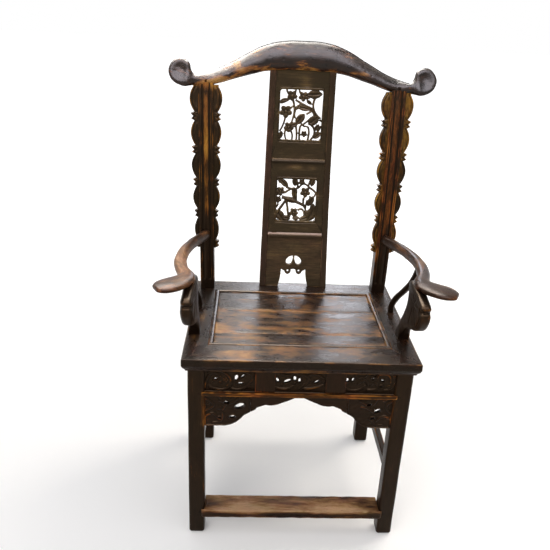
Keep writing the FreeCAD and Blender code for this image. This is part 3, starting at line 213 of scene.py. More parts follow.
def edgeEnds(mesh):  # both ends of every edge, and how many edges meet at each point
    ends = np.empty(len(mesh.edges) * 2, np.int32)
    mesh.edges.foreach_get("vertices", ends)
    first, last = ends.reshape(-1, 2).T
    count = len(mesh.vertices)
    meeting = np.bincount(first, minlength=count) + np.bincount(last, minlength=count)
    return first, last, np.maximum(meeting, 1)


def smoothed(mesh, points, share, rounds):  # points drawn towards their neighbours, by a share for each
    first, last, neighbours = edgeEnds(mesh)
    count = len(points)
    for _ in range(rounds):
        total = [np.bincount(first, side[last], count) + np.bincount(last, side[first], count)
                 for side in points.T]
        points = points + (np.column_stack(total) / neighbours[:, None] - points) * share[:, None]
    return points


def solidCopy(node):
    mesh = frame["nodes"][node].data.copy()
    tidyMesh(mesh)
    return mesh


def roughen(mesh, amount, length, seed):  # the slight unevenness of hand planing
    points = getPoints(mesh)
    points += getNormals(mesh) * (waver(points, length, seed) * amount)[:, None]
    setPoints(mesh, points)


def roundedLoop(left, right, low, high, radius, cornerSteps, sideSteps):  # a rectangle with rounded corners
    centres = ((right - radius, high - radius), (left + radius, high - radius),
               (left + radius, low + radius), (right - radius, low + radius))
    points = []
    for turn, centre in enumerate(centres):
        for step in range(cornerSteps + 1):
            angle = math.pi / 2 * (turn + step / cornerSteps)
            points.append((centre[0] + radius * math.cos(angle), centre[1] + radius * math.sin(angle)))
        after = centres[(turn + 1) % 4]
        start = np.array(points[-1])
        end = np.array((after[0] + radius * math.cos(angle), after[1] + radius * math.sin(angle)))
        points += [tuple(start + (end - start) * step / sideSteps) for step in range(1, sideSteps)]
    return np.array(points)


def roundedRing(halfAcross, halfDeep, radius, cornerSteps=4, sideSteps=6):  # the same about zero
    return roundedLoop(-halfAcross, halfAcross, -halfDeep, halfDeep, radius, cornerSteps, sideSteps)


# Wear, grain, darker tones in hollows and, on the ledges, a painted sheen, kept on each mesh as attributes

# Where hands, backs and feet have rubbed: middle, reach along X, Y and Z, and how much. Below zero the
# lacquer is thick.
rubbedPlaces = {
    "seat boards": (
        ((-75, 15, 519), (85, 60, 20), 0.2), ((60, -10, 519), (60, 50, 20), 0.06),
        ((-20, 110, 519), (90, 14, 20), 0.18), ((-190, 90, 519), (40, 50, 20), -0.4),
        ((150, 60, 519), (60, 60, 20), -0.12), ((0, -120, 519), (150, 22, 20), -0.16),
    ),
    "seat frame": (
        ((-120, -203, 520), (48, 20, 8), 0.28), ((-30, -205, 520), (60, 16, 8), 0.12),
        ((130, -190, 520), (62, 20, 8), 0.42), ((40, -215, 520), (40, 20, 8), -0.1),
        ((-160, -206, 520), (70, 20, 8), 0.2), ((-275, -200, 520), (30, 45, 8), -0.15),
        ((230, -200, 520), (40, 40, 8), -0.1), ((0, -241, 506), (400, 6, 11), -0.6),
    ),
    "arms": (
        ((-315, -222, 700), (40, 30, 12), 0.26), ((315, -222, 700), (30, 30, 12), 0.16),
        ((-292, -60, 696), (26, 80, 30), 0.2), ((292, -40, 696), (26, 70, 30), 0.1),
        ((-276, -170, 700), (26, 40, 20), 0.3), ((-240, 170, 690), (30, 30, 40), -0.25),
        ((272, 90, 690), (26, 60, 30), 0.14), ((-258, -215, 632), (8, 30, 22), 0.5),
    ),
    "crest": (
        ((0, 222, 1104), (120, 12, 6), 0.3), ((0, 212, 1117), (150, 30, 9), 0.12),
        ((-120, 212, 1112), (60, 30, 8), 0.35), ((120, 212, 1110), (70, 30, 7), 0.25),
        ((-203, 212, 1080), (34, 30, 15), 0.66), ((-240, 212, 1072), (40, 30, 14), 0.62),
        ((-165, 212, 1100), (26, 30, 12), 0.5), ((-172, 215, 1122), (14, 30, 10), 0.75),
        ((-30, 212, 1108), (70, 20, 9), 0.4), ((60, 212, 1109), (60, 20, 8), 0.25),
    ),
    "splat": (
        ((10, 236, 1078), (20, 20, 20), 0.4), ((-8, 236, 858), (26, 20, 10), 0.36),
        ((40, 236, 860), (14, 20, 8), 0.3), ((-40, 230, 655), (30, 20, 9), 0.2),
        ((-86, 236, 960), (8, 20, 90), 0.12), ((-92, 225, 700), (8, 20, 120), 0.12),
    ),
    "apron and footrest": (
        ((0, -230, 424), (190, 20, 8), 0.3), ((-226, -224, 390), (10, 10, 50), 0.3),
        ((226, -224, 380), (10, 10, 50), 0.25), ((-226, -224, 340), (12, 10, 14), 0.3),
        ((0, -237, 66), (400, 8, 9), -0.62), ((90, -232, 80), (60, 20, 12), 0.3),
        ((-120, -232, 80), (80, 20, 12), 0.25),
    ),
}
wear = {
    "patchLength": 75, "smallPatchLength": 24, "leastPatch": 0.15,
    "ridge": (0.04, 0.34), "hollow": (0.03, 0.3), "spreadRounds": 3, "sharpAngle": 50,
}


def addWearAndSheen(mesh, node, grain, rub, edgeRub, tone, local):
    points, normals = getPoints(mesh), getNormals(mesh)
    count = len(points)
    first, last, neighbours = edgeEnds(mesh)
    run = points[last] - points[first]
    bend = np.einsum("ij,ij->i", normals[last] - normals[first], run) / np.maximum((run ** 2).sum(1), 1e-6)

    def spread(values):  # mean over the edges that meet at each point
        return (np.bincount(first, values, count) + np.bincount(last, values, count)) / neighbours

    ridge = spread(np.maximum(bend, 0)) * 2
    hollow = spread(np.maximum(-bend, 0)) * 2
    for _ in range(wear["spreadRounds"]):
        ridge = (ridge + spread((ridge[first] + ridge[last]) / 2)) / 2
        hollow = (hollow + spread((hollow[first] + hollow[last]) / 2)) / 2
    seed = sum(ord(letter) * (index + 1) for index, letter in enumerate(node))
    large, small = waver(points, wear["patchLength"], seed), waver(points, wear["smallPatchLength"], seed + 1)
    patches = wear["leastPatch"] + (1 - wear["leastPatch"]) * ease(-0.45, 0.7, large + 0.5 * small)
    # how far the lacquer is rubbed through; for the ledges this also carries a painted sheen
    rubbedAndSheen = rub + edgeRub * ease(*wear["ridge"], ridge) * patches
    for places in rubbedPlaces.values():
        for place, reach, amount in places:
            rubbedAndSheen += amount * np.exp(-(((points - place) / reach) ** 2).sum(1))
    # a piece's own marks: wear, and for the ledges a painted sheen
    if local is not None:
        rubbedAndSheen += local(points)
    if isinstance(grain, str):
        order = {"x": (0, 1, 2), "y": (1, 2, 0), "z": (2, 0, 1)}[grain]
        fibre = points[:, order]
    else:
        along, offset, _ = alongLine(points, grain)
        fibre = np.column_stack((along, offset[:, 1], offset[:, 2] + offset[:, 0]))
    fibre = fibre + np.random.default_rng(seed).uniform(0, 900, 3)
    # darker tones in hollows and creases
    hollowDark = ease(*wear["hollow"], hollow)
    fields = {"rubbedAndSheen": rubbedAndSheen, "hollowDark": hollowDark, "tone": np.full(count, tone), "grain": fibre}
    for name, values in fields.items():
        kind, key = ("FLOAT", "value") if values.ndim == 1 else ("FLOAT_VECTOR", "vector")
        mesh.attributes.new(name, kind, "POINT").data.foreach_set(key, np.asarray(values, np.float32).ravel())


def addPiece(node, mesh, grain="x", rub=0.0, edgeRub=0.5, tone=0.0, local=None):
    for polygon in mesh.polygons:
        polygon.use_smooth = True
    mesh.set_sharp_from_angle(angle=math.radians(wear["sharpAngle"]))
    addWearAndSheen(mesh, node, grain, rub, edgeRub, tone, local)
    mesh.name = node + "_wood"
    piece = bpy.data.objects.new(node + "_wood", mesh)
    bpy.context.scene.collection.objects.link(piece)
    mesh.materials.clear()
    mesh.materials.append(woods["polished" if node in handPolished else slotOf[node]])
    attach(piece, "root")
    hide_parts(node)
    return piece


# Materials

def toLinear(code):
    parts = [int(code[start:start + 2], 16) / 255 for start in (1, 3, 5)]
    linear = [part / 12.92 if part <= 0.04045 else ((part + 0.055) / 1.055) ** 2.4 for part in parts]
    return (*linear, 1.0)


def addNode(tree, kind, inputs=None, **settings):
    node = tree.nodes.new(kind)
    for name, value in settings.items():
        setattr(node, name, value)
    for name, value in (inputs or {}).items():
        if isinstance(value, bpy.types.NodeSocket):
            tree.links.new(value, node.inputs[name])
        else:
            node.inputs[name].default_value = value
    return node


# Elm under dark lacquer, brushed on by hand and rubbed through. The tones run from thick lacquer,
# nearly black, over thin red-brown lacquer to amber bare wood and its pale, polished high spots.
# "steps" says how bare the wood is at each tone, "flakeSize" is along and across the grain in mm.
handPolished = ("left_arm", "right_arm", "front_footrest")
lacquers = {
    # legs, posts, aprons: brushed lacquer, satin, that shows red-brown where it is thin
    "dark_wood": {
        "name": "darkLacqueredElm", "tones": ("#110b07", "#20150d", "#40260f", "#74471c", "#a8702c"),
        "cover": 0.22, "patches": 1.0, "flakes": 0.72, "gloss": 0.36, "sheen": 0.2, "tint": "#dcb88f",
        "steps": (0.0, 0.4, 0.52, 0.68, 1.0), "flakeSize": (34.0, 4.2), "smudges": 0.1,
    },
    # the seat: lacquer gone in blotches from sitting, polished, so a window shines in it
    "worn_wood": {
        "name": "handWornElm", "tones": ("#170f0a", "#2c1b11", "#53371e", "#785027", "#a27848"),
        "cover": 0.25, "patches": 1.5, "flakes": 1.24, "gloss": 0.28, "sheen": 0.18, "tint": "#e4cdb4",
        "steps": (0.0, 0.42, 0.5, 0.7, 1.0), "flakeSize": (52.0, 21.0), "smudges": 0.2,
    },
    # arms and footrest: nearly bare, brown and smooth from hands and feet
    "polished": {
        "name": "handPolishedElm", "tones": ("#1d130c", "#3a2617", "#5c3d24", "#86603e", "#b08c68"),
        "cover": 0.2, "patches": 1.4, "flakes": 0.8, "gloss": 0.3, "sheen": 0.11, "tint": "#eadbd2",
        "steps": (0.0, 0.38, 0.5, 0.68, 0.95), "flakeSize": (60.0, 9.0), "smudges": 0.2,
    },
    # the crest rail: waxed over the lacquer, so the sky lies on it as a grey sheen, smudged by hands
    "crest_wood": {
        "name": "waxedElm", "tones": ("#140d09", "#2a1a10", "#4a2c18", "#8a5a26", "#b98e52"),
        "cover": 0.22, "patches": 1.2, "flakes": 1.5, "gloss": 0.32, "sheen": 0.26, "tint": "#f2eee8",
        "steps": (0.0, 0.4, 0.5, 0.62, 1.0), "flakeSize": (40.0, 9.0), "smudges": 0.5,
    },
    # the splat: thin lacquer gone olive, matt, with the grain showing; its palest tone, a lilac grey, is a
    # painted sheen for the tops of the ledges
    "splat_wood": {
        "name": "oliveLacqueredElm", "tones": ("#191209", "#2f2416", "#443423", "#5f4a2d", "#b6a094"),
        "cover": 0.32, "patches": 0.8, "flakes": 0.56, "gloss": 0.4, "sheen": 0.3, "tint": "#e2c8a8",
        "steps": (0.0, 0.4, 0.52, 0.68, 1.0), "flakeSize": (34.0, 4.2), "smudges": 0.15,
    },
    # pegs: end grain that has drunk the lacquer, nearly black and dull
    "peg_wood": {
        "name": "endGrainElm", "tones": ("#0d0906", "#150e09", "#20150d", "#33210f", "#4b3218"),
        "cover": 0.2, "patches": 0.4, "flakes": 0.2, "gloss": 0.5, "sheen": 0.15, "tint": "#dcb88f",
        "steps": (0.0, 0.4, 0.52, 0.68, 1.0), "flakeSize": (34.0, 4.2), "smudges": 0.1,
    },
}
# Sizes of the patterns that every look shares, along and across the grain in mm, and how much each shows.
elm = {
    "patches": (170.0, 46.0),  # where the brush laid the lacquer thick or thin
    "fibres": (80.0, 2.2),  # growth rings, drawn coarser than elm's to show
    "pores": (15.0, 0.9),  # open pores of 0.3 mm, drawn three times as wide
    "clouds": (60.0, 24.0),  # redder and yellower wood
    "fibreShow": 0.16, "hollowDarkShow": -0.45, "redden": -0.03, "cloudHue": 0.06,
    "poreEdge": (0.34, 0.42), "poreDark": 0.55, "dullest": 0.18, "dullSpan": (0.3, 0.8), "flakeDull": 0.2,
    "relief": 0.3, "reliefShow": 0.4, "bareSunk": -0.5,
}


def lacqueredElm(look):
    material = bpy.data.materials.new(look["name"])
    material.use_nodes = True
    tree = material.node_tree
    tree.nodes.clear()
    grain = addNode(tree, "ShaderNodeAttribute", attribute_name="grain").outputs["Vector"]
    rubbedAndSheen, hollowDark, tone = (addNode(tree, "ShaderNodeAttribute", attribute_name=name).outputs["Fac"]
                           for name in ("rubbedAndSheen", "hollowDark", "tone"))

    def noise(length, width, detail, roughness=0.55, distortion=0.0):
        scale = (1 / length, 1 / width, 1 / width)
        placed = addNode(tree, "ShaderNodeMapping", {"Vector": grain, "Scale": scale})
        return addNode(tree, "ShaderNodeTexNoise", {
            "Vector": placed.outputs[0], "Scale": 1.0, "Detail": detail, "Roughness": roughness,
            "Distortion": distortion,
        }).outputs["Fac"]

    def weighed(value, weight, total):  # total + (value - 0.5) * weight
        shifted = addNode(tree, "ShaderNodeMath", {0: value, 1: 0.5}, operation="SUBTRACT").outputs[0]
        inputs = {0: shifted, 1: weight, 2: total}
        return addNode(tree, "ShaderNodeMath", inputs, operation="MULTIPLY_ADD").outputs[0]

    patches = noise(*elm["patches"], 4.0, 0.6, 0.6)
    flakes = noise(*look["flakeSize"], 6.0, 0.66, 0.3)  # lacquer lost in flakes along the grain
    fibres = noise(*elm["fibres"], 3.0, 0.6)
    pores = noise(*elm["pores"], 2.0, 0.5)
    clouds = noise(*elm["clouds"], 3.0)

    # how bare the wood is, and on the ledge tops a painted sheen
    bareAndSheen = addNode(tree, "ShaderNodeMath", {0: rubbedAndSheen, 1: look["cover"]}, operation="ADD").outputs[0]
    bareAndSheen = weighed(patches, look["patches"], bareAndSheen)
    bareAndSheen = weighed(flakes, look["flakes"], bareAndSheen)
    bareAndSheen = weighed(fibres, elm["fibreShow"], bareAndSheen)
    # hollows and creases take darker tones
    bareAndSheen = addNode(tree, "ShaderNodeMath", {0: hollowDark, 1: elm["hollowDarkShow"], 2: bareAndSheen},
                   operation="MULTIPLY_ADD").outputs[0]
    ramp = addNode(tree, "ShaderNodeValToRGB", {"Fac": bareAndSheen})
    stops = ramp.color_ramp.elements
    while len(stops) < len(look["steps"]):
        stops.new(0.5)
    for stop, place, code in zip(stops, look["steps"], look["tones"]):
        stop.position = place
        stop.color = toLinear(code)
    hue = addNode(tree, "ShaderNodeMath", {0: tone, 1: elm["redden"], 2: 0.5},
                  operation="MULTIPLY_ADD").outputs[0]
    hue = weighed(clouds, elm["cloudHue"], hue)
    tinted = addNode(tree, "ShaderNodeHueSaturation", {"Hue": hue, "Color": ramp.outputs[0]}).outputs[0]
    darkPores = addNode(tree, "ShaderNodeMapRange", {
        "Value": pores, "From Min": elm["poreEdge"][0], "From Max": elm["poreEdge"][1],
        "To Min": elm["poreDark"], "To Max": 1.0,
    }).outputs[0]
    colour = addNode(tree, "ShaderNodeMix", {0: 1.0, 6: tinted, 7: darkPores},
                     data_type="RGBA", blend_type="MULTIPLY").outputs[2]
    roughness = addNode(tree, "ShaderNodeMapRange", {
        "Value": bareAndSheen, "From Min": elm["dullSpan"][0], "From Max": elm["dullSpan"][1],
        "To Min": look["gloss"], "To Max": look["gloss"] + elm["dullest"],
    }).outputs[0]  # bare wood is duller than lacquer
    roughness = weighed(flakes, elm["flakeDull"], roughness)
    roughness = weighed(clouds, look["smudges"], roughness)  # handled wood shines unevenly
    height = addNode(tree, "ShaderNodeMath", {0: fibres, 1: darkPores}, operation="ADD").outputs[0]
    height = weighed(bareAndSheen, elm["bareSunk"], height)
    bump = addNode(tree, "ShaderNodeBump", {
        "Strength": elm["reliefShow"], "Distance": elm["relief"] * mm, "Height": height}).outputs[0]
    shader = addNode(tree, "ShaderNodeBsdfPrincipled", {
        "Base Color": colour, "Roughness": roughness, "Normal": bump, "Specular IOR Level": look["sheen"],
        "Specular Tint": toLinear(look["tint"]),
    })
    addNode(tree, "ShaderNodeOutputMaterial", {"Surface": shader.outputs[0]})
    return material


woods = {slot: lacqueredElm(look) for slot, look in lacquers.items()}
print("materials made")


# Camera, floor and light

view = {"place": (-130.7, -1438.4, 1239.7), "yaw": -2.75, "pitch": -22.69, "roll": -2.69, "lens": 40.62}
studio = {
    "white": 1.0, "fillHigh": 1.0, "fillLow": 0.45, "fillColour": "#f6f6f8",
    "floor": "#f2f2f2", "bounce": "#b8b2aa",
    "glowNear": 0.1, "glowFar": 0.6, "nearEnd": 900.0, "farStart": 2600.0, "floorHalf": 30000.0,
}
# Each lamp: where it stands and where it points, its width and height, its power and its colour.
# A card is seen only as a sheen on the wood, as a white board is in a studio, and a lamp gives none.
lamps = {
    "keyLamp": ((1700, 900, 2700), (0, 0, 700), 1300, 1300, 46, "#fff5e8"),
    "frontLamp": ((-1300, -2500, 2300), (0, 0, 700), 1500, 1500, 30, "#fff8f0"),
    "windowCard": ((330, 2900, 1900), (80, 0, 520), 900, 950, 34, "#e6ebf8"),
    "skyCard": ((-450, 950, 2750), (-100, 200, 1000), 2100, 2000, 470, "#f6f4f0"),
    "frontCard": ((-100, -1300, 3100), (0, 240, 1150), 2800, 1800, 230, "#eceafa"),
}


def addCamera():
    camera = bpy.data.objects.new("camera", bpy.data.cameras.new("camera"))
    camera.data.lens = view["lens"]
    camera.data.sensor_width = 36.0
    camera.data.clip_start = 0.05
    x, y, z = view["place"]
    camera.location = Vector((x, y + seatMiddle, z)) * mm
    turn = Matrix.Identity(3)
    for degrees, axis in ((view["yaw"], "Z"), (view["pitch"], "X"), (view["roll"], "Y"), (90, "X")):
        turn = turn @ Matrix.Rotation(math.radians(degrees), 3, axis)
    camera.rotation_euler = turn.to_euler()
    bpy.context.scene.collection.objects.link(camera)
    bpy.context.scene.camera = camera


def seenShare(tree):  # 1 for rays from the camera, and for those mirrored or let through
    path = addNode(tree, "ShaderNodeLightPath").outputs
    mirrored = addNode(tree, "ShaderNodeMath", {0: path["Is Camera Ray"], 1: path["Is Glossy Ray"]},
                       operation="MAXIMUM").outputs[0]
    return addNode(tree, "ShaderNodeMath", {0: mirrored, 1: path["Is Transmission Ray"]},
                   operation="MAXIMUM").outputs[0]


def addStudio():
    bpy.context.scene.view_settings.view_transform = "Standard"
    world = bpy.data.worlds.new("studio")
    bpy.context.scene.world = world
    world.use_nodes = True
    tree = world.node_tree
    tree.nodes.clear()
    height = addNode(tree, "ShaderNodeSeparateXYZ",
                     {0: addNode(tree, "ShaderNodeTexCoord").outputs["Generated"]}).outputs["Z"]
    level = addNode(tree, "ShaderNodeMapRange", {
        "Value": height, "From Min": 0.0, "From Max": 1.0,
        "To Min": studio["fillLow"], "To Max": studio["fillHigh"],
    }).outputs[0]  # more light from above than from the sides
    fill = addNode(tree, "ShaderNodeBackground", {"Color": toLinear(studio["fillColour"]), "Strength": level})
    backdrop = addNode(tree, "ShaderNodeBackground", {"Color": (1, 1, 1, 1), "Strength": studio["white"]})
    both = {0: seenShare(tree), 1: fill.outputs[0], 2: backdrop.outputs[0]}
    mix = addNode(tree, "ShaderNodeMixShader", both)
    addNode(tree, "ShaderNodeOutputWorld", {"Surface": mix.outputs[0]})

    paper = bpy.data.materials.new("palePaperFloor")
    paper.use_nodes = True
    tree = paper.node_tree
    tree.nodes.clear()
    place = addNode(tree, "ShaderNodeNewGeometry").outputs["Position"]
    distance = addNode(tree, "ShaderNodeVectorMath", {0: place}, operation="LENGTH").outputs["Value"]
    strength = addNode(tree, "ShaderNodeMapRange", {
        "Value": distance, "From Min": studio["nearEnd"] * mm, "From Max": studio["farStart"] * mm,
        "To Min": studio["glowNear"], "To Max": studio["glowFar"],
    }).outputs[0]
    seen = seenShare(tree)
    matt = addNode(tree, "ShaderNodeBsdfDiffuse", {"Color": toLinear(studio["floor"])})
    dim = addNode(tree, "ShaderNodeBsdfDiffuse", {"Color": toLinear(studio["bounce"])})
    glow = addNode(tree, "ShaderNodeEmission", {"Color": (1, 1, 1, 1), "Strength": strength})
    bright = addNode(tree, "ShaderNodeAddShader", {0: matt.outputs[0], 1: glow.outputs[0]})
    both = addNode(tree, "ShaderNodeMixShader", {0: seen, 1: dim.outputs[0], 2: bright.outputs[0]})
    addNode(tree, "ShaderNodeOutputMaterial", {"Surface": both.outputs[0]})
    half = studio["floorHalf"]
    floor = bpy.data.objects.new("floor", meshFrom(
        [(-half, -half, 0), (half, -half, 0), (half, half, 0), (-half, half, 0)], [(0, 1, 2, 3)]))
    floor.data.materials.append(paper)
    bpy.context.scene.collection.objects.link(floor)

    for name, (place, aim, width, height, power, colour) in lamps.items():
        lamp = bpy.data.lights.new(name, "AREA")
        lamp.shape = "RECTANGLE"
        lamp.size = width * mm
        lamp.size_y = height * mm
        lamp.energy = power
        lamp.color = toLinear(colour)[:3]
        holder = bpy.data.objects.new(name, lamp)
        holder.location = Vector(place) * mm
        holder.rotation_euler = (Vector(aim) - Vector(place)).to_track_quat("-Z", "Y").to_euler()
        holder.visible_diffuse = not name.endswith("Card")
        holder.visible_glossy = name.endswith("Card")
        bpy.context.scene.collection.objects.link(holder)


addCamera()
addStudio()
print("camera, floor and lamps placed")


# Legs and rear posts

leg = {"radius": 5.0, "footRound": 9.0, "ringGap": 11.0, "footHeights": (0, 0.6, 1.6, 3.2, 5, 7, 9)}
post = {
    "rise": 545.0, "rake": 57.5, "splay": 9.5, "halfWidth": 19.0, "halfDepth": 18.5, "scribe": 8.0,
    "radius": 2.5, "shoulder": 15.0,
    "grooveWidth": 4.0, "grooveDepth": 2.5, "beadHalf": 7.5, "beadFoot": 26.0,
    "stripeEdge": (3.5, 7.0), "stripeFoot": (640, 780), "stripeHead": (1030, 1055), "rubFoot": (560, 700),
}
# How far each post's bead and the whole post are rubbed, and its tone: the left bead to amber, the right
# one only to red-brown.
postLook = {-1: (0.55, 0.05, 0.0), 1: (0.12, 0.24, 0.4)}
legLow, legHigh = nodeBox("front_right_leg")
legMiddle = (legLow[0] + legHigh[0]) / 2
legHalf = (legHigh - legLow) / 2
post["middle"] = nodeBox("right_waist_board")[1][1] + legHalf[0]


def footInset(height):  # how far a foot's arris is rounded off
    radius = leg["footRound"]
    return radius - math.sqrt(radius ** 2 - (radius - height) ** 2) if height < radius else 0.0


def legHeights(top):  # closer together where the foot is rounded
    return list(leg["footHeights"]) + list(np.linspace(16, top, int(top / leg["ringGap"])))


def addFrontLeg(node):
    low, high = nodeBox(node)
    middle = (low + high) / 2
    half = (high - low) / 2
    rings = []
    for height in legHeights(high[2]):
        inset = footInset(height)
        ring = roundedRing(half[0] - inset, half[1] - inset, leg["radius"])
        rings.append(np.column_stack((ring + middle[:2], np.full(len(ring), height))))
    mesh = loft(rings)
    roughen(mesh, 0.35, 90, 3)
    addPiece(node, mesh, "z", 0.0, 0.3)


def postSide(height):
    return legMiddle + post["splay"] * max(height - seat["top"], 0) / post["rise"]


def postBack(height):
    radius = (post["rise"] ** 2 + post["rake"] ** 2) / (2 * post["rake"])
    return post["middle"] + radius - math.sqrt(radius ** 2 - max(height - seat["top"], 0) ** 2)


def postSection(height):
    above = height > seat["top"] - post["shoulder"]
    halfAcross = post["halfWidth"] if above else legHalf[0]
    halfDeep = post["halfDepth"] if above else legHalf[1]
    radius = post["radius"] if above else leg["radius"]
    inset = footInset(height)
    ring = roundedRing(halfAcross - inset, halfDeep - inset, radius, 4, 36)
    front = ring[:, 1] < -halfDeep + inset + 0.01
    across = np.abs(ring[:, 0])
    bead = post["beadHalf"]
    crown = post["grooveDepth"] * (1 - np.sqrt(np.clip(1 - (across / (bead * 1.02)) ** 2, 0, 1)))
    far = bead + post["grooveWidth"]
    groove = np.where(across < bead, crown, post["grooveDepth"] * (1 - ease(far - 0.8, far + 0.2, across)))
    start = seat["top"] + post["beadFoot"]
    ring[:, 1] += np.where(front, groove * ease(start, start + 5, height), 0)
    return ring


def addRearPost(node, side):
    top = seat["top"] + post["rise"] + post["scribe"]
    foot = seat["top"] + post["beadFoot"]
    heights = [h for h in legHeights(top) if abs(h - foot) > 9] + list(np.linspace(foot - 8, foot + 8, 9))
    rings = []
    for height in sorted(heights):
        ring = postSection(height)
        x, y = side * (ring[:, 0] + postSide(height)), ring[:, 1] + postBack(height)
        rings.append(np.column_stack((x, y, np.full(len(ring), height))))
    mesh = loft(rings)
    roughen(mesh, 0.3, 110, 7 + side)
    beadRub, postRub, tone = postLook[side]

    def beadWear(points):
        up = points[:, 2]
        across = np.abs(points[:, 0] * side - np.array([postSide(height) for height in up]))
        stripe = ease(*post["stripeFoot"], up) * (1 - ease(*post["stripeHead"], up))
        patchy = 0.8 + 0.35 * waver(points, 110, 9)
        stripe *= (1 - ease(*post["stripeEdge"], across)) * patchy
        return stripe * beadRub + postRub * ease(*post["rubFoot"], up)

    addPiece(node, mesh, "z", 0.0, 0.4, tone, beadWear)


for name in ("front_left_leg", "front_right_leg"):
    addFrontLeg(name)
addRearPost("rear_left_post", -1)
addRearPost("rear_right_post", 1)
print("legs and posts made")


# Carved wings beside the posts

wing = {
    "foot": nodeBox("left_outer_wing")[0][2], "top": nodeBox("left_outer_wing")[1][2],
    "reach": 25.0, "recess": 5.0, "thickness": 16.0, "lobes": 5, "crocket": 22.0,
    "necks": (0.55, 0.45, 0.38, 0.28, 0.16, 0.22), "swells": (0.94, 0.84, 0.78, 0.68, 0.55),
    "spurs": ((0.0, 0.0), (0.2, 0.4), (0.52, 0.12), (0.8, 0.36), (1.0, 0.0)),
    "step": 1.3, "edge": 3.0, "tenon": 6.0, "rim": 4.5, "rimDepth": 1.3, "rimWidth": 1.1, "rimReach": (6, 10),
    "swellRise": 1.0, "swellInset": 6.0, "swellWidth": 3.5, "swellReach": (12, 18),
}


def wingReach(height):  # how far the carved edge stands out from the post
    pitch = (wing["top"] - wing["foot"]) / wing["lobes"]
    down = wing["top"] - height
    index = min(int(down / pitch), wing["lobes"] - 1)
    into = down - index * pitch
    lobe = pitch - wing["crocket"]
    start, end = wing["necks"][index], wing["necks"][index + 1]
    if into < lobe:
        share = into / lobe
        bulge = wing["swells"][index] - (start + end) / 2
        return wing["reach"] * (start + (end - start) * share + bulge * 4 * share * (1 - share))
    share = (into - lobe) / wing["crocket"]
    drops, spurs = zip(*wing["spurs"])
    return wing["reach"] * (end + np.interp(share, drops, spurs))


def wingSection(reach):  # across and deep, with a rounded edge, a sunk line inside it and a low swell
    edge = min(wing["edge"], reach * 0.35)
    front = wing["recess"] - post["halfDepth"]
    back = front + wing["thickness"]
    turn = np.sin(np.linspace(0.3, 1.57, 5))
    across = np.concatenate((np.linspace(-2, reach - edge, 12), reach - edge + edge * turn))
    fromEdge = reach - across
    drop = edge * (1 - np.sqrt(np.clip(1 - (np.clip(edge - fromEdge, 0, edge) / edge) ** 2, 0, 1)))
    line = wing["rimDepth"] * np.exp(-((fromEdge - wing["rim"]) / wing["rimWidth"]) ** 2)
    swell = -wing["swellRise"] * np.exp(
        -((fromEdge - wing["rim"] - wing["swellInset"]) / wing["swellWidth"]) ** 2)
    line, swell = line * ease(*wing["rimReach"], reach), swell * ease(*wing["swellReach"], reach)
    behind = np.linspace(reach - 0.2, -2, 6)
    behindDepth = back - edge * 0.6 * ease(reach - edge, reach, behind)
    return np.column_stack((np.concatenate((across, behind)),
                            np.concatenate((front + drop + line + swell, behindDepth))))


def addWing(node, side, outward):
    rings = []
    for height in np.arange(wing["foot"], wing["top"] + wing["tenon"], wing["step"] * coarse):
        section = wingSection(max(wingReach(min(height, wing["top"])), 0.8))
        x = side * (postSide(height) + outward * (post["halfWidth"] + section[:, 0]))
        y = section[:, 1] + postBack(height)
        rings.append(np.column_stack((x, y, np.full(len(section), height))))
    mesh = loft(rings)
    roughen(mesh, 0.2, 30, 11)
    addPiece(node, mesh, "z", 0.3 if side > 0 else 0.1, 0.35, -0.5)


for sideName, sideSign in (("left", -1), ("right", 1)):
    addWing(sideName + "_outer_wing", sideSign, 1)
    addWing(sideName + "_inner_wing", sideSign, -1)
print("wings carved")


# Seat frame, beads and boards

def railProfile(width):  # inset and height: top, arris, flat edge, step, ogee, underside, ledge and rebate
    top, under = seat["top"], seat["underside"]
    arris, step, ogee = seat["arris"], seat["edgeStep"], seat["ogeeInset"]
    flatFoot = top - seat["edgeFlat"]
    points = [(inset, top) for inset in np.linspace(width, arris, 10)]
    for angle in np.linspace(0.2, 1, 5) * math.pi / 2:
        points.append((arris * (1 - math.sin(angle)), top - arris * (1 - math.cos(angle))))
    points += [(0, height) for height in np.linspace(top - arris, flatFoot + 0.8, 5)[1:]]
    points.append((step, flatFoot))
    for share in np.linspace(0.1, 1, 9):
        points.append((step + (ogee - step) * (share - math.sin(2 * math.pi * share) / 9),
                       flatFoot - (flatFoot - under) * share))
    inner, rebate = width + seat["ledge"], top - seat["rebate"]
    points += [(width * 0.5, under), (inner, under), (inner, rebate), (width, rebate)]
    return np.array(points)


def mitreReach(inset, halfLength, width, otherWidth):  # half length of a rail at an inset, up to its mitre
    square = seat["squareMitre"]
    slope = (otherWidth + seat["ledge"] - square) / (width + seat["ledge"] - square)
    return halfLength - np.where(inset < square, inset, square + (inset - square) * slope)


seatSides = {
    "front": lambda along, inset, height: (along, seat["front"] + inset, height),
    "back": lambda along, inset, height: (along, seat["back"] - inset, height),
    "left": lambda along, inset, height: (inset - seat["halfWidth"], seatMiddle + along, height),
    "right": lambda along, inset, height: (seat["halfWidth"] - inset, seatMiddle + along, height),
}


seatRubs = {"front": 0.06, "back": -0.06, "left": -0.08, "right": 0.06}
boardRubs = {"front": 0.14, "middle": 0.2, "back": 0.08}


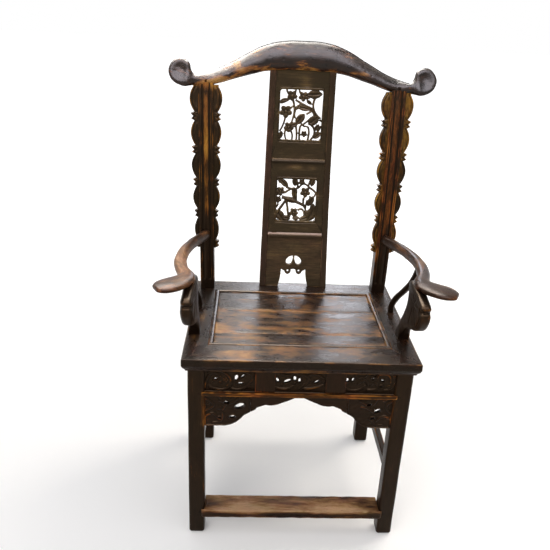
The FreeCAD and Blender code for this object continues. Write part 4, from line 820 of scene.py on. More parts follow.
def addSeatRail(place):
    sideways = place in ("front", "back")
    width = seat[place + "Width"] if sideways else seat["sideWidth"]
    profile = railProfile(width)
    depth = (seat["back"] - seat["front"]) / 2
    rings = []
    for share in np.linspace(0, 1, 60):
        ring = []
        for inset, height in profile:
            if sideways:
                half = float(mitreReach(inset, seat["halfWidth"], width, seat["sideWidth"]))
                low, high = -half, half
            else:
                low = -float(mitreReach(inset, depth, width, seat["frontWidth"]))
                high = float(mitreReach(inset, depth, width, seat["backWidth"]))
            ring.append(seatSides[place](low + (high - low) * share, inset, height))
        rings.append(ring)
    mesh = loft(rings)
    roughen(mesh, 0.3, 120, 21)
    addPiece("seat_" + place + "_rail", mesh, "x" if sideways else "y", seatRubs[place], 0.55)


def addBead(place):
    sideways = place in ("front", "back")
    start = seat[place + "Width"] if sideways else seat["sideWidth"]
    width = seat["beadWidth"]
    top, foot = seat["top"], seat["top"] - seat["rebate"]
    spring = top - seat["beadSunk"]
    crown = top + seat["beadRise"] - spring
    profile = [(start + width * (1 - math.cos(angle)) / 2, spring + crown * math.sin(angle))
               for angle in np.linspace(0, math.pi, 11)]
    profile += [(start + width, foot), (start, foot)]
    lowest, highest = nodeBox("seat_" + place + "_bead")
    half = (highest - lowest)[0 if sideways else 1] / 2
    middle = (highest + lowest)[0 if sideways else 1] / 2 - (0 if sideways else seatMiddle)
    rings = []
    for share in np.linspace(-1, 1, 50):
        rings.append([seatSides[place](middle + share * (half - (inset - start)), inset, height)
                      for inset, height in profile])
    mesh = loft(rings)
    roughen(mesh, 0.2, 60, 31)
    addPiece("seat_" + place + "_bead", mesh, "x" if sideways else "y", 0.12, 0.5)


def addBar(node, axis, radius, rub, edgeRub, steps=40, wave=0.3):  # a straight piece with rounded arrises
    low, high = nodeBox(node)
    order = {"x": (1, 2, 0), "y": (0, 2, 1), "z": (0, 1, 2)}[axis]
    half = (high - low)[list(order)] / 2
    middle = (high + low)[list(order)] / 2
    rings = []
    ends = [(-1, radius * 0.7), (-1 + 0.3 * radius / half[2], radius * 0.2), (-1 + radius / half[2], 0)]
    stations = ends + [(share, 0) for share in np.linspace(-0.97, 0.97, steps)]
    stations += [(-share, inset) for share, inset in reversed(ends)]
    for share, inset in stations:
        ring = roundedRing(half[0] - inset, half[1] - inset, radius, 3, 8)
        local = np.column_stack((ring + middle[:2], np.full(len(ring), middle[2] + share * half[2])))
        world = np.empty_like(local)
        world[:, order] = local
        rings.append(world)
    mesh = loft(rings)
    roughen(mesh, wave, 80, 41)
    addPiece(node, mesh, axis, rub, edgeRub)


for place in ("front", "back", "left", "right"):
    addSeatRail(place)
    addBead(place)
for name, rub in boardRubs.items():
    addBar("seat_" + name + "_board", "x", 0.8, rub, 0.3, 70, 0.2)
for name in ("seat_left_batten", "seat_right_batten"):
    addBar(name, "y", 1.5, 0.0, 0.2)
print("seat made")


# Arms, their posts and sticks, the crest rail and the plain rails, from the solids with worn edges

def mirroredLine(line):
    return tuple((-x, y, z) for x, y, z in line)


# The lines that the grain follows
leftArmLine = ((-245, 181, 664), (-258, 145, 666), (-276, 94, 668), (-289, 34, 669), (-293, -30, 670),
               (-287, -84, 673), (-276, -127, 675), (-267, -153, 677), (-269, -175, 678), (-284, -197, 679),
               (-303, -215, 680), (-333, -230, 680))
leftPostLine = ((-256, -102, 506), (-256, -125, 545), (-256, -180, 600), (-256, -215, 650),
                (-256, -225, 700))
leftStickLine = ((-256, 34, 508), (-258, 22, 545), (-275, -5, 600), (-292, -35, 660), (-297, -45, 695))
leftCrestLine = ((-347, 245, 1110), (-290, 236, 1085), (-230, 238, 1090), (-170, 240, 1113),
                 (-90, 243, 1138), (0, 244, 1144))
crestLine = leftCrestLine + mirroredLine(leftCrestLine[:-1])[::-1]


# Voxel, rounds of softening, grain, rub, rub on edges, unevenness, and tone from yellow (-1) to red (1)
wornCopies = {
    "crest_rail": (2.0, 4, crestLine, 0.02, 0.3, 0.4, 0.0),
    "left_arm": (1.8, 4, leftArmLine, 0.16, 0.2, 0.4, 0.1),
    "right_arm": (1.8, 4, mirroredLine(leftArmLine), 0.04, 0.2, 0.4, 0.1),
    "left_arm_stick": (1.4, 3, leftStickLine, -0.1, 0.2, 0.3, 0.0),
    "right_arm_stick": (1.4, 3, mirroredLine(leftStickLine), -0.1, 0.2, 0.3, 0.0),
    "front_footrest": (1.8, 3, "x", 0.4, 0.5, 0.4, 0.0),
    "front_waist_rail": (1.3, 2, "x", 0.1, 0.5, 0.2, 0.2),
    "front_left_waist_strut": (1.6, 2, "z", 0.05, 0.4, 0.2, 0.5),
    "front_right_waist_strut": (1.6, 2, "z", 0.05, 0.4, 0.2, 0.5),
    "front_apron_centre": (1.4, 2, "x", 0.0, 0.4, 0.2, 0.5),
    "splat_left_stile": (1.6, 2, "z", -0.02, 0.3, 0.2, 1.2),
    "splat_right_stile": (1.6, 2, "z", -0.04, 0.3, 0.2, 0.5),
    "splat_lower_rail": (1.0, 1, "x", 0.05, 0.2, 0.1, 0.3),
    "splat_upper_rail": (1.0, 1, "x", -0.42, 0.2, 0.1, 0.2),
}
for name in ("left", "right", "rear"):
    axis = "x" if name == "rear" else "y"
    wornCopies[name + "_apron"] = (2.2, 2, axis, -0.05, 0.4, 0.3, 0.3)
    wornCopies[name + "_waist_rail"] = (1.8, 2, axis, 0.0, 0.4, 0.2, 0.0)
    wornCopies[name + "_waist_board"] = (2.6, 1, axis, -0.05, 0.2, 0.2, 0.0)


def addDents(mesh, count, smallest, largest, depth, seed):  # knocks from long use
    points, normals = getPoints(mesh), getNormals(mesh)
    chance = np.random.default_rng(seed)
    moved = points.copy()
    for index in chance.integers(0, len(points), count):
        radius = chance.uniform(smallest, largest)
        stretch = (points - points[index]) / radius
        stretch[:, 0] *= chance.uniform(0.4, 1)
        share = np.exp(-(stretch ** 2).sum(1))
        moved -= normals[index] * (share * depth * chance.uniform(0.4, 1))[:, None]
    setPoints(mesh, moved)


# A span is where a shape sets in, from and to, as a distance from the chair's middle. leanRise is in shares
# of the rail's height.
crest = {
    "lean": 17.0, "thin": 6.0, "leanRise": (0.3, 1.15), "leanSpan": (232.0, 282.0), "step": 5.0,
    "earMiddle": (322.0, 1122.0), "earGrow": 0.13, "growSpan": (285.0, 315.0), "end": 350.0,
    "earTilt": 0.42, "tiltHeight": 1107.0, "tiltSpan": (280.0, 304.0),
    "softSpan": (266.0, 290.0), "earRounds": 26, "dents": 150,
}


def shapeCrest(mesh):  # the upper front leans back, worn round by hands, and the ears spread and tilt up
    points, normals = getPoints(mesh), getNormals(mesh)
    x, z = np.abs(points[:, 0]), points[:, 2]
    stations = np.arange(0, crest["end"], crest["step"])
    lows = np.array([z[np.abs(x - at) < crest["step"]].min() for at in stations])
    highs = np.array([z[np.abs(x - at) < crest["step"]].max() for at in stations])
    low, high = np.interp(x, stations, lows), np.interp(x, stations, highs)
    up = (z - low) / (high - low)
    here = 1 - ease(*crest["leanSpan"], x)
    front = ease(-0.2, 0.5, -normals[:, 1])
    lean = crest["thin"] + (crest["lean"] - crest["thin"]) * front
    points[:, 1] += here * ease(*crest["leanRise"], up) * lean
    spread = ease(*crest["growSpan"], x) * crest["earGrow"]
    points[:, 0] += np.sign(points[:, 0]) * spread * (x - crest["earMiddle"][0])
    points[:, 2] += spread * (z - crest["earMiddle"][1])
    points = smoothed(mesh, points, ease(*crest["softSpan"], x), crest["earRounds"])
    ear = ease(*crest["tiltSpan"], np.abs(points[:, 0]))
    points[:, 1] += crest["earTilt"] * ear * (points[:, 2] - crest["tiltHeight"])
    setPoints(mesh, points)


def ledgeSheen(points):  # painted sheen and shade: the top of a ledge made pale where the sky's reflection lies on it, the lower part darker
    low, high = points[:, 2].min(), points[:, 2].max()
    up = (points[:, 2] - low) / (high - low)
    return 0.75 * ease(0.45, 0.75, up) - 0.1


def addWornCopy(node, voxel, rounds, grain, rub, edgeRub, uneven, tone):
    mesh = remeshed(solidCopy(node), voxel, rounds)
    roughen(mesh, uneven, 45, len(node))
    if node == "crest_rail":
        shapeCrest(mesh)
        addDents(mesh, crest["dents"], 1.6, 4.5, 1.0, 5)
    # the two ledges get a painted sheen on their tops
    ledge = node in ("splat_lower_rail", "splat_upper_rail")
    addPiece(node, mesh, grain, rub, edgeRub, tone, ledgeSheen if ledge else None)


for node, sizes in wornCopies.items():
    addWornCopy(node, *sizes)
for name, axis in (("left", "y"), ("right", "y"), ("rear", "x")):
    addBar(name + "_stretcher", axis, 3.0, -0.02, 0.5)


# Arm posts: goose-necks sawn to a side outline, as back and height, thinned to a rounded edge, with the
# belly turned out under the arm and a fan of veins carved in it.

neck = {
    "middle": (nodeBox("right_arm_post")[0][0] + nodeBox("right_arm_post")[1][0]) / 2, "half": 14.0,
    "voxel": 1.3, "round": 15.0, "edgeShare": 0.4, "slimRise": (8, 40),
    "bellyFront": (-205, -170), "bellyFoot": (580, 610),
    "turnOut": 5.0, "turnFront": (-245, -165), "turnFoot": (560, 640),
    "carving": 1.3, "rimInset": 7.0, "rimWidth": 1.3,
    "fanMiddle": (-200.0, 652.0), "fanVeins": 3.5, "veinWidth": 0.22, "veinInset": (9, 13),
    "outline": (
        (-121, 506), (-121, 522), (-126, 538), (-138, 553), (-154, 567), (-174, 578), (-196, 587),
        (-217, 594), (-238, 607), (-250, 626), (-253, 640), (-250, 649), (-244, 653), (-249, 657),
        (-251, 663), (-243, 670), (-220, 677), (-190, 688), (-152, 690), (-141, 682), (-147, 664),
        (-149, 645), (-142, 622), (-128, 598), (-110, 574), (-96, 551), (-88, 528), (-86, 506),
    ),
}


def smoothLoop(corners, perSpan):  # a closed curve through its corners
    corners = np.array(corners, float)
    before, after, beyond = np.roll(corners, 1, 0), np.roll(corners, -1, 0), np.roll(corners, -2, 0)
    bend = 2 * before - 5 * corners + 4 * after - beyond
    twist = 3 * corners - before - 3 * after + beyond
    shares = np.arange(perSpan) / perSpan
    loop = [0.5 * (2 * corners + (after - before) * share + bend * share ** 2 + twist * share ** 3)
            for share in shares]
    return np.stack(loop, 1).reshape(-1, 2)


def addArmPost(node, side, line):
    loop = smoothLoop(neck["outline"], 4)
    rings = [np.column_stack((np.full(len(loop), neck["middle"] + offset), loop))
             for offset in (-neck["half"], neck["half"])]
    mesh = remeshed(loft(rings), neck["voxel"], 3)
    points, normals = getPoints(mesh), getNormals(mesh)
    walls = nearWalls(points, normals, 0)
    slim = ease(*neck["slimRise"], points[:, 2] - seat["top"])  # the foot stays square on the seat
    inward = 1 - np.clip(walls / neck["round"], 0, 1)
    share = 1 - slim * (1 - neck["edgeShare"]) * (1 - np.sqrt(1 - inward ** 2))
    belly = (1 - ease(*neck["bellyFront"], points[:, 1])) * ease(*neck["bellyFoot"], points[:, 2])
    angle = np.arctan2(neck["fanMiddle"][1] - points[:, 2], neck["fanMiddle"][0] - points[:, 1])
    veins = np.exp(-(np.sin(angle * neck["fanVeins"]) / neck["veinWidth"]) ** 2)
    veins *= ease(*neck["veinInset"], walls)
    rim = np.exp(-((walls - neck["rimInset"]) / neck["rimWidth"]) ** 2)
    carved = neck["carving"] * np.maximum(veins, rim) * belly * ease(0.4, 0.9, np.abs(normals[:, 0]))
    offset = (points[:, 0] - neck["middle"]) * share - np.sign(normals[:, 0]) * carved
    outward = neck["turnOut"] * (1 - ease(*neck["turnFront"], points[:, 1]))
    outward *= ease(*neck["turnFoot"], points[:, 2])
    points[:, 0] = side * (neck["middle"] + offset + outward)
    setPoints(mesh, points)
    tidyMesh(mesh)
    roughen(mesh, 0.3, 40, len(node))
    addPiece(node, mesh, line, -0.02, 0.45)


addArmPost("left_arm_post", -1, leftPostLine)
addArmPost("right_arm_post", 1, mirroredLine(leftPostLine))
print("worn copies made")


# Carved openwork: stems, flowers and leaves grown by geometry nodes, then fused and bent to the splat

splat = {
    "footBack": seat["back"] - 20.0, "crestBack": 244.1, "sag": 22.0, "footWidth": 192.0, "topWidth": 174.0,
    "top": 1107.0, "stile": 17.0, "panelHalf": 4.5, "tongue": 3.0, "windowCorner": 6.0, "windowSill": 6.0,
    "windowEdge": ((0.0, 1.6), (0.35, 0.6), (1.2, 0.0)),  # across and deep
    "borderInset": 6.5, "borderDepth": 0.9, "borderWidth": 0.9, "borderRings": np.arange(4, 9.1, 0.5),
    "carvingVoxel": 0.8, "panelVoxel": 1.0,
}
# One window each: its width, its foot over the ledge below and its height, then the carving. Places are
# in shares of the window's half width and of its height. A stem has three places and a thickness in mm,
# a bloom a radius in mm, a leaf its length and width in mm and its turn in degrees.
topWindow = {
    "node": "splat_top_panel", "width": 114.0, "rise": 56.0, "height": 131.0,
    "stems": (
        ((-0.71, 0.5), (-0.8, 0.31), (-0.97, 0.16), 2.3), ((-0.42, 0.8), (-0.31, 0.6), (-0.42, 0.34), 2.6),
        ((-0.28, 0.8), (0.06, 0.72), (0.52, 0.64), 2.6), ((-0.2, 0.66), (-0.3, 0.5), (-0.14, 0.4), 2.4),
        ((0.62, 0.84), (0.6, 0.62), (0.95, 0.44), 2.6), ((0.52, 0.66), (0.58, 0.56), (0.74, 0.44), 2.8),
        ((0.26, 0.52), (0.44, 0.57), (0.6, 0.62), 2.4), ((0.1, 0.3), (0.3, 0.37), (0.5, 0.46), 2.3),
        ((0.42, 0.34), (0.7, 0.18), (0.48, -0.03), 2.8), ((-0.48, 0.2), (-0.36, 0.1), (-0.38, -0.03), 2.4),
        ((-0.22, 0.3), (-0.15, 0.12), (-0.17, -0.03), 2.4),
        ((-0.62, 0.22), (-0.72, 0.12), (-0.62, -0.03), 2.3),
        ((0.0, -0.03), (0.0, 0.26), (0.2, 0.27), 2.5), ((0.38, -0.03), (0.42, 0.22), (0.2, 0.27), 2.5),
        ((0.68, 0.06), (0.88, 0.2), (1.0, 0.3), 2.6), ((-1.03, 0.74), (-0.75, 0.76), (-0.44, 0.86), 2.6),
        ((-0.45, 0.86), (-0.66, 0.94), (-0.7, 1.03), 2.6), ((-0.42, 0.88), (-0.3, 0.96), (-0.3, 1.03), 2.4),
        ((0.1, 0.86), (-0.08, 0.94), (-0.14, 1.03), 2.4), ((0.1, 0.86), (0.3, 0.84), (0.5, 0.92), 2.4),
        ((-0.94, 0.52), (-0.98, 0.54), (-1.03, 0.54), 2.3),
        ((-0.52, 0.62), (-0.42, 0.66), (-0.32, 0.68), 2.2),
        ((0.9, 0.42), (0.96, 0.4), (1.03, 0.38), 2.6), ((-0.03, 0.5), (0.0, 0.4), (0.08, 0.3), 2.2),
    ),
    "blooms": (
        (-0.71, 0.56, 15.5), (-0.44, 0.88, 12.5), (0.08, 0.87, 12.0), (-0.54, 0.25, 12.5), (0.2, 0.12, 8.0),
    ),
    "leaves": (
        (-0.78, 0.79, 24, 9, 12), (0.6, 0.92, 38, 19, 3), (0.12, 0.645, 38, 13, -12),
        (-0.02, 0.42, 34, 17, 52), (0.62, 0.4, 33, 20, 42), (-0.14, 0.66, 15, 8, 60),
        (0.84, 0.1, 24, 12, 40), (-0.92, 0.08, 22, 11, 70), (0.36, 0.76, 17, 8, -38),
        (0.8, 0.26, 20, 9, 60), (-0.3, 0.3, 22, 11, 20),
    ),
}
middleWindow = {
    "node": "splat_middle_panel", "width": 110.0, "rise": 39.0, "height": 116.0,
    "stems": (
        ((-0.56, 0.8), (-0.22, 0.77), (0.1, 0.79), 2.4), ((-0.62, 0.66), (-0.36, 0.74), (-0.16, 0.78), 2.6),
        ((0.1, 0.79), (0.34, 0.89), (0.6, 0.82), 2.4), ((0.56, 0.82), (0.8, 0.76), (1.03, 0.66), 2.8),
        ((0.66, 0.6), (0.84, 0.56), (1.0, 0.7), 2.4), ((-0.74, 0.56), (-0.2, 0.49), (0.36, 0.38), 4.2),
        ((-0.96, 0.18), (-0.74, 0.34), (-0.52, 0.5), 3.4), ((-0.5, 0.48), (-0.42, 0.26), (-0.36, 0.03), 3.0),
        ((0.3, 0.42), (0.47, 0.3), (0.58, 0.14), 2.6), ((0.1, 0.25), (0.36, 0.26), (0.46, 0.05), 2.6),
        ((0.38, 0.56), (0.36, 0.48), (0.4, 0.36), 2.8), ((-0.34, 0.05), (-0.2, 0.2), (-0.06, 0.24), 2.4),
        ((-0.1, 0.2), (0.02, 0.1), (0.0, -0.03), 2.4), ((0.8, 0.4), (0.9, 0.2), (0.7, 0.03), 3.0),
        ((0.04, 0.8), (0.02, 0.92), (-0.06, 1.03), 2.4), ((0.24, 0.94), (0.3, 0.98), (0.3, 1.03), 2.2),
        ((0.6, 0.82), (0.62, 0.92), (0.72, 1.03), 2.3), ((-0.84, 0.9), (-0.94, 0.97), (-1.0, 1.03), 2.6),
        ((-0.86, 0.66), (-0.95, 0.62), (-1.03, 0.62), 2.6), ((-0.02, 0.78), (0.0, 0.6), (0.02, 0.46), 2.4),
        ((0.58, 0.5), (0.52, 0.42), (0.5, 0.3), 2.6), ((-0.92, 0.4), (-0.97, 0.34), (-1.03, 0.3), 2.4),
    ),
    "blooms": (
        (-0.82, 0.7, 11.5), (0.44, 0.69, 13.0), (-0.1, 0.2, 11.5), (0.24, 0.93, 8.5), (-0.93, 0.5, 9.0),
    ),
    "leaves": (
        (-0.66, 0.9, 30, 13, -42), (-0.12, 0.94, 24, 12, 98), (0.8, 0.93, 22, 11, 68),
        (-0.12, 0.66, 32, 12, 96), (0.74, 0.48, 30, 14, 62), (-0.3, 0.5, 40, 13, -14),
        (0.78, 0.16, 40, 24, 58), (-0.82, 0.12, 36, 20, -48), (0.44, 0.06, 26, 13, 20),
        (-0.5, 0.06, 24, 12, -12), (0.86, 0.3, 26, 14, 80), (0.02, 0.06, 20, 10, 5),
    ),
}


def arcThrough(first, middle, last):  # centre and radius of a circle, each place as (back, height)
    matrix = 2 * np.array((np.subtract(middle, first), np.subtract(last, first)))
    sums = [np.dot(middle, middle) - np.dot(first, first), np.dot(last, last) - np.dot(first, first)]
    centre = np.linalg.solve(matrix, sums)
    return centre, np.linalg.norm(np.subtract(first, centre))


splatCentre, splatRadius = arcThrough(
    (splat["footBack"], seat["top"]),
    ((splat["footBack"] + splat["crestBack"]) / 2 + splat["sag"], (seat["top"] + splat["top"]) / 2),
    (splat["crestBack"], splat["top"]))


def bendToSplat(points, way=1):  # flat places, with depth in Y, onto the splat's curve, or back off it
    back, height = splatCentre
    bent = points.copy()
    bent[:, 1] += way * (back + np.sqrt(splatRadius ** 2 - (points[:, 2] - height) ** 2))
    return bent


def splatHalf(height):
    share = (height - seat["top"]) / (splat["top"] - seat["top"])
    return (splat["footWidth"] + (splat["topWidth"] - splat["footWidth"]) * share) / 2


def leafMesh():  # a pointed leaf one unit long, domed, with a sunk midrib and a wavy edge
    rings = []
    for along in np.sin(np.linspace(-1, 1, 25) * math.pi / 2) * 0.5:
        half = 0.5 * (1 - (2 * abs(along)) ** 2.4) * (1 + 0.08 * math.cos(along * 44)) + 0.02
        ring = []
        for angle in np.linspace(0, 2 * math.pi, 24, endpoint=False):
            across = math.copysign(abs(math.cos(angle)) ** 0.7, math.cos(angle))
            deep = math.copysign(abs(math.sin(angle)) ** 0.7, math.sin(angle))
            rib = 0.55 * math.exp(-(across / 0.17) ** 2) if deep < 0 else 0
            ring.append((along, deep * (0.5 + half) * (1 - rib), across * half))
        rings.append(ring)
    return loft(np.array(rings) / mm)


def newTree(name, sockets):  # named inputs, and one geometry output
    tree = bpy.data.node_groups.new(name, "GeometryNodeTree")
    for socket, kind in sockets.items():
        tree.interface.new_socket(socket, in_out="INPUT", socket_type="NodeSocket" + kind)
    tree.interface.new_socket("Geometry", in_out="OUTPUT", socket_type="NodeSocketGeometry")
    return tree, addNode(tree, "NodeGroupInput").outputs


def closeTree(tree, geometry, material):  # real geometry in its material
    solid = addNode(tree, "GeometryNodeRealizeInstances", {"Geometry": geometry}).outputs[0]
    dressed = addNode(tree, "GeometryNodeSetMaterial", {"Geometry": solid, "Material": material}).outputs[0]
    addNode(tree, "NodeGroupOutput", {"Geometry": dressed})


def sprayTree():
    tree, given = newTree("carvedSpray", {
        "Geometry": "Geometry", "Leaf": "Object", "Petals": "Int", "Relief": "Float", "Material": "Material"})

    def named(name):
        return addNode(tree, "GeometryNodeInputNamedAttribute", {"Name": name}).outputs["Attribute"]

    def vector(x, y, z):
        return addNode(tree, "ShaderNodeCombineXYZ", {"X": x, "Y": y, "Z": z}).outputs[0]

    def spotsWhere(name):  # the loose points that carry a bloom or a leaf
        chosen = addNode(tree, "FunctionNodeCompare", {0: named(name), 1: 0.0}, operation="GREATER_THAN")
        return addNode(tree, "GeometryNodeMeshToPoints", {
            "Mesh": given["Geometry"], "Selection": chosen.outputs[0]}).outputs[0]

    stems = addNode(tree, "GeometryNodeMeshToCurve", {"Mesh": given["Geometry"]}).outputs[0]
    profile = addNode(tree, "GeometryNodeCurvePrimitiveCircle", {"Resolution": 10, "Radius": 1.0}).outputs[0]
    stems = addNode(tree, "GeometryNodeCurveToMesh", {
        "Curve": stems, "Profile Curve": profile, "Scale": named("thickness"), "Fill Caps": True}).outputs[0]

    ball = addNode(tree, "GeometryNodeMeshUVSphere", {
        "Segments": 14, "Rings": 9, "Radius": 1.0}).outputs["Mesh"]
    petal = addNode(tree, "GeometryNodeTransform", {
        "Geometry": ball, "Translation": (0.1, 0, 0), "Scale": (0.44, 0.42, 0.8)}).outputs[0]
    ring = addNode(tree, "GeometryNodeMeshCircle", {"Vertices": given["Petals"], "Radius": 0.5}).outputs[0]
    outward = addNode(tree, "FunctionNodeAlignRotationToVector", {
        "Vector": addNode(tree, "GeometryNodeInputPosition").outputs[0]}, axis="X").outputs[0]
    petals = addNode(tree, "GeometryNodeInstanceOnPoints", {
        "Points": ring, "Instance": petal, "Rotation": outward})
    button = addNode(tree, "GeometryNodeTransform", {
        "Geometry": ball, "Translation": (0, 0, 0.1), "Scale": (0.25, 0.25, 0.95)}).outputs[0]
    bloom = addNode(tree, "GeometryNodeJoinGeometry", {"Geometry": petals.outputs[0]})
    tree.links.new(button, bloom.inputs["Geometry"])
    facing = addNode(tree, "GeometryNodeTransform", {
        "Geometry": bloom.outputs[0], "Rotation": (math.pi / 2, 0.3, 0)}).outputs[0]  # faces the front
    size = named("bloom")
    blooms = addNode(tree, "GeometryNodeInstanceOnPoints", {
        "Points": spotsWhere("bloom"), "Instance": facing,
        "Scale": vector(size, given["Relief"], size)}).outputs[0]

    leaf = addNode(tree, "GeometryNodeObjectInfo", {"Object": given["Leaf"]}).outputs["Geometry"]
    turned = addNode(tree, "FunctionNodeEulerToRotation", {
        "Euler": vector(0.0, named("turn"), 0.0)}).outputs[0]
    leaves = addNode(tree, "GeometryNodeInstanceOnPoints", {
        "Points": spotsWhere("leafLength"), "Instance": leaf, "Rotation": turned,
        "Scale": vector(named("leafLength"), given["Relief"], named("leafWidth"))}).outputs[0]

    whole = addNode(tree, "GeometryNodeJoinGeometry", {"Geometry": stems})
    tree.links.new(blooms, whole.inputs["Geometry"])
    tree.links.new(leaves, whole.inputs["Geometry"])
    closeTree(tree, whole.outputs[0], given["Material"])
    return tree


def grownMesh(mesh, tree, inputs):  # a plain mesh of what a node tree makes of another
    def addModifiers(carrier):
        nodes = carrier.modifiers.new("nodes", "NODES")
        nodes.node_group = tree
        for socket in tree.interface.items_tree:
            if socket.in_out == "INPUT" and socket.name in inputs:
                nodes[socket.identifier] = inputs[socket.name]
    return evaluatedMesh(mesh, addModifiers)


def bowed(first, middle, last, count):  # a bend that passes through three places
    share = np.linspace(0, 1, count)[:, None]
    first, middle, last = np.array(first), np.array(middle), np.array(last)
    control = 2 * middle - (first + last) / 2
    return (1 - share) ** 2 * first + 2 * share * (1 - share) * control + share ** 2 * last


# How much stems, blooms and leaves grow to make up for what fusing them wears off
spray = {
    "stemGrow": 1.25, "taper": 0.03, "bloomGrow": 1.12, "leafGrow": (1.1, 1.2), "relief": 3.6, "petals": 5,
}


def sprayGuide(window, foot):  # stems as edges, blooms and leaves as loose points
    half, height = window["width"] / 2, window["height"]

    def at(across, up):
        return np.array((across * half, 0.0, foot + up * height))

    points, edges = [], []
    values = {name: [] for name in ("thickness", "bloom", "leafLength", "leafWidth", "turn")}

    def addPoint(place, **given):
        points.append(place * mm)
        for name in values:
            values[name].append(given.get(name, 0.0))

    for first, middle, last, thickness in window["stems"]:
        for step, place in enumerate(bowed(at(*first), at(*middle), at(*last), 9)):
            if step:
                edges.append((len(points) - 1, len(points)))
            addPoint(place, thickness=thickness * (spray["stemGrow"] - spray["taper"] * step) * mm)
    for across, up, radius in window["blooms"]:
        addPoint(at(across, up), bloom=radius * spray["bloomGrow"] * mm)
    for across, up, length, width, turn in window["leaves"]:
        long, wide = np.multiply((length, width), spray["leafGrow"]) * mm
        addPoint(at(across, up), leafLength=long, leafWidth=wide, turn=-math.radians(turn))
    guide = bpy.data.meshes.new("guide")
    guide.from_pydata([tuple(point) for point in points], edges, [])
    for name, numbers in values.items():
        guide.attributes.new(name, "FLOAT", "POINT").data.foreach_set("value", numbers)
    return guide


def windowBoard(window, low, high, foot):  # the panel round a window, with an incised border line
    inner = roundedLoop(-window["width"] / 2, window["width"] / 2, foot, foot + window["height"],
                        splat["windowCorner"], 6, 30)
    outer = roundedLoop(-1, 1, low, high, 0.01, 6, 30)
    outer[:, 0] *= np.array([splatHalf(height) - splat["stile"] + splat["tongue"] for height in outer[:, 1]])
    away = outer - inner
    length = np.linalg.norm(away, axis=1, keepdims=True)
    half = splat["panelHalf"]
    front = list(splat["windowEdge"])
    for distance in splat["borderRings"]:
        fromLine = (distance - splat["borderInset"]) / splat["borderWidth"]
        front.append((distance, splat["borderDepth"] * math.exp(-fromLine ** 2)))
    rings = [inner + away / length * distance for distance, _ in front]
    depths = [depth - half for _, depth in front]
    rings += [inner + away * share for share in (0.45, 0.7, 1.0, 1.0, 0.5, 0.0)]
    depths += [-half, -half, -half, half, half, half]
    loops = [np.column_stack((ring[:, 0], np.full(len(ring), depth), ring[:, 1]))
             for ring, depth in zip(rings, depths)]
    return loft(loops, closedPath=True)


def addWindowPanel(window, ledge, tree, leaf):
    low, high = nodeBox(window["node"])[0][2], nodeBox(window["node"])[1][2]
    foot = nodeBox(ledge)[0][2] + splat["windowSill"] + window["rise"]
    guide = sprayGuide(window, foot)
    inputs = {"Leaf": leaf, "Petals": spray["petals"], "Relief": spray["relief"] * mm,
              "Material": woods["splat_wood"]}
    carving = remeshed(grownMesh(guide, tree, inputs), splat["carvingVoxel"], 3)
    mesh = joinMeshes([windowBoard(window, low, high, foot), carving])
    roughen(mesh, 0.25, 14, 51)
    setPoints(mesh, bendToSplat(getPoints(mesh)))
    addPiece(window["node"], mesh, "x", 0.02, 0.35, -0.3)


# Heights over the seat in the plain solid, and where the carver set them
archPanel = {
    "drawn": (0, 18, 36, 42, 82, 118, 200), "set": (0, 35, 54, 62, 91, 120, 200),
    "lobeShare": 0.88, "lobeFoot": (50, 62), "lobeHead": (92, 110), "lobeSides": (40, 60),
}


def addArchPanel(node):  # its arch and lobes stand higher than in the plain solid
    mesh = remeshed(solidCopy(node), splat["panelVoxel"], 2)
    points = bendToSplat(getPoints(mesh), -1)
    up = points[:, 2] - seat["top"]
    raised = np.interp(up, archPanel["drawn"], archPanel["set"])
    lobes = ease(*archPanel["lobeFoot"], raised) * (1 - ease(*archPanel["lobeHead"], raised))
    lobes *= 1 - ease(*archPanel["lobeSides"], np.abs(points[:, 0]))
    points[:, 0] *= 1 - (1 - archPanel["lobeShare"]) * lobes
    points[:, 2] = seat["top"] + raised
    setPoints(mesh, bendToSplat(points))
    roughen(mesh, 0.2, 45, 53)
    addPiece(node, mesh, "x", 0.16, 0.3, 0.0)


leafObject = bpy.data.objects.new("leaf", leafMesh())
sprayNodes = sprayTree()
addWindowPanel(topWindow, "splat_upper_rail", sprayNodes, leafObject)
addWindowPanel(middleWindow, "splat_lower_rail", sprayNodes, leafObject)
bpy.data.objects.remove(leafObject)
addArchPanel("splat_bottom_panel")
print("splat carved")


# Pierced panels under the seat: relief sunk round rims, scrolls and buds

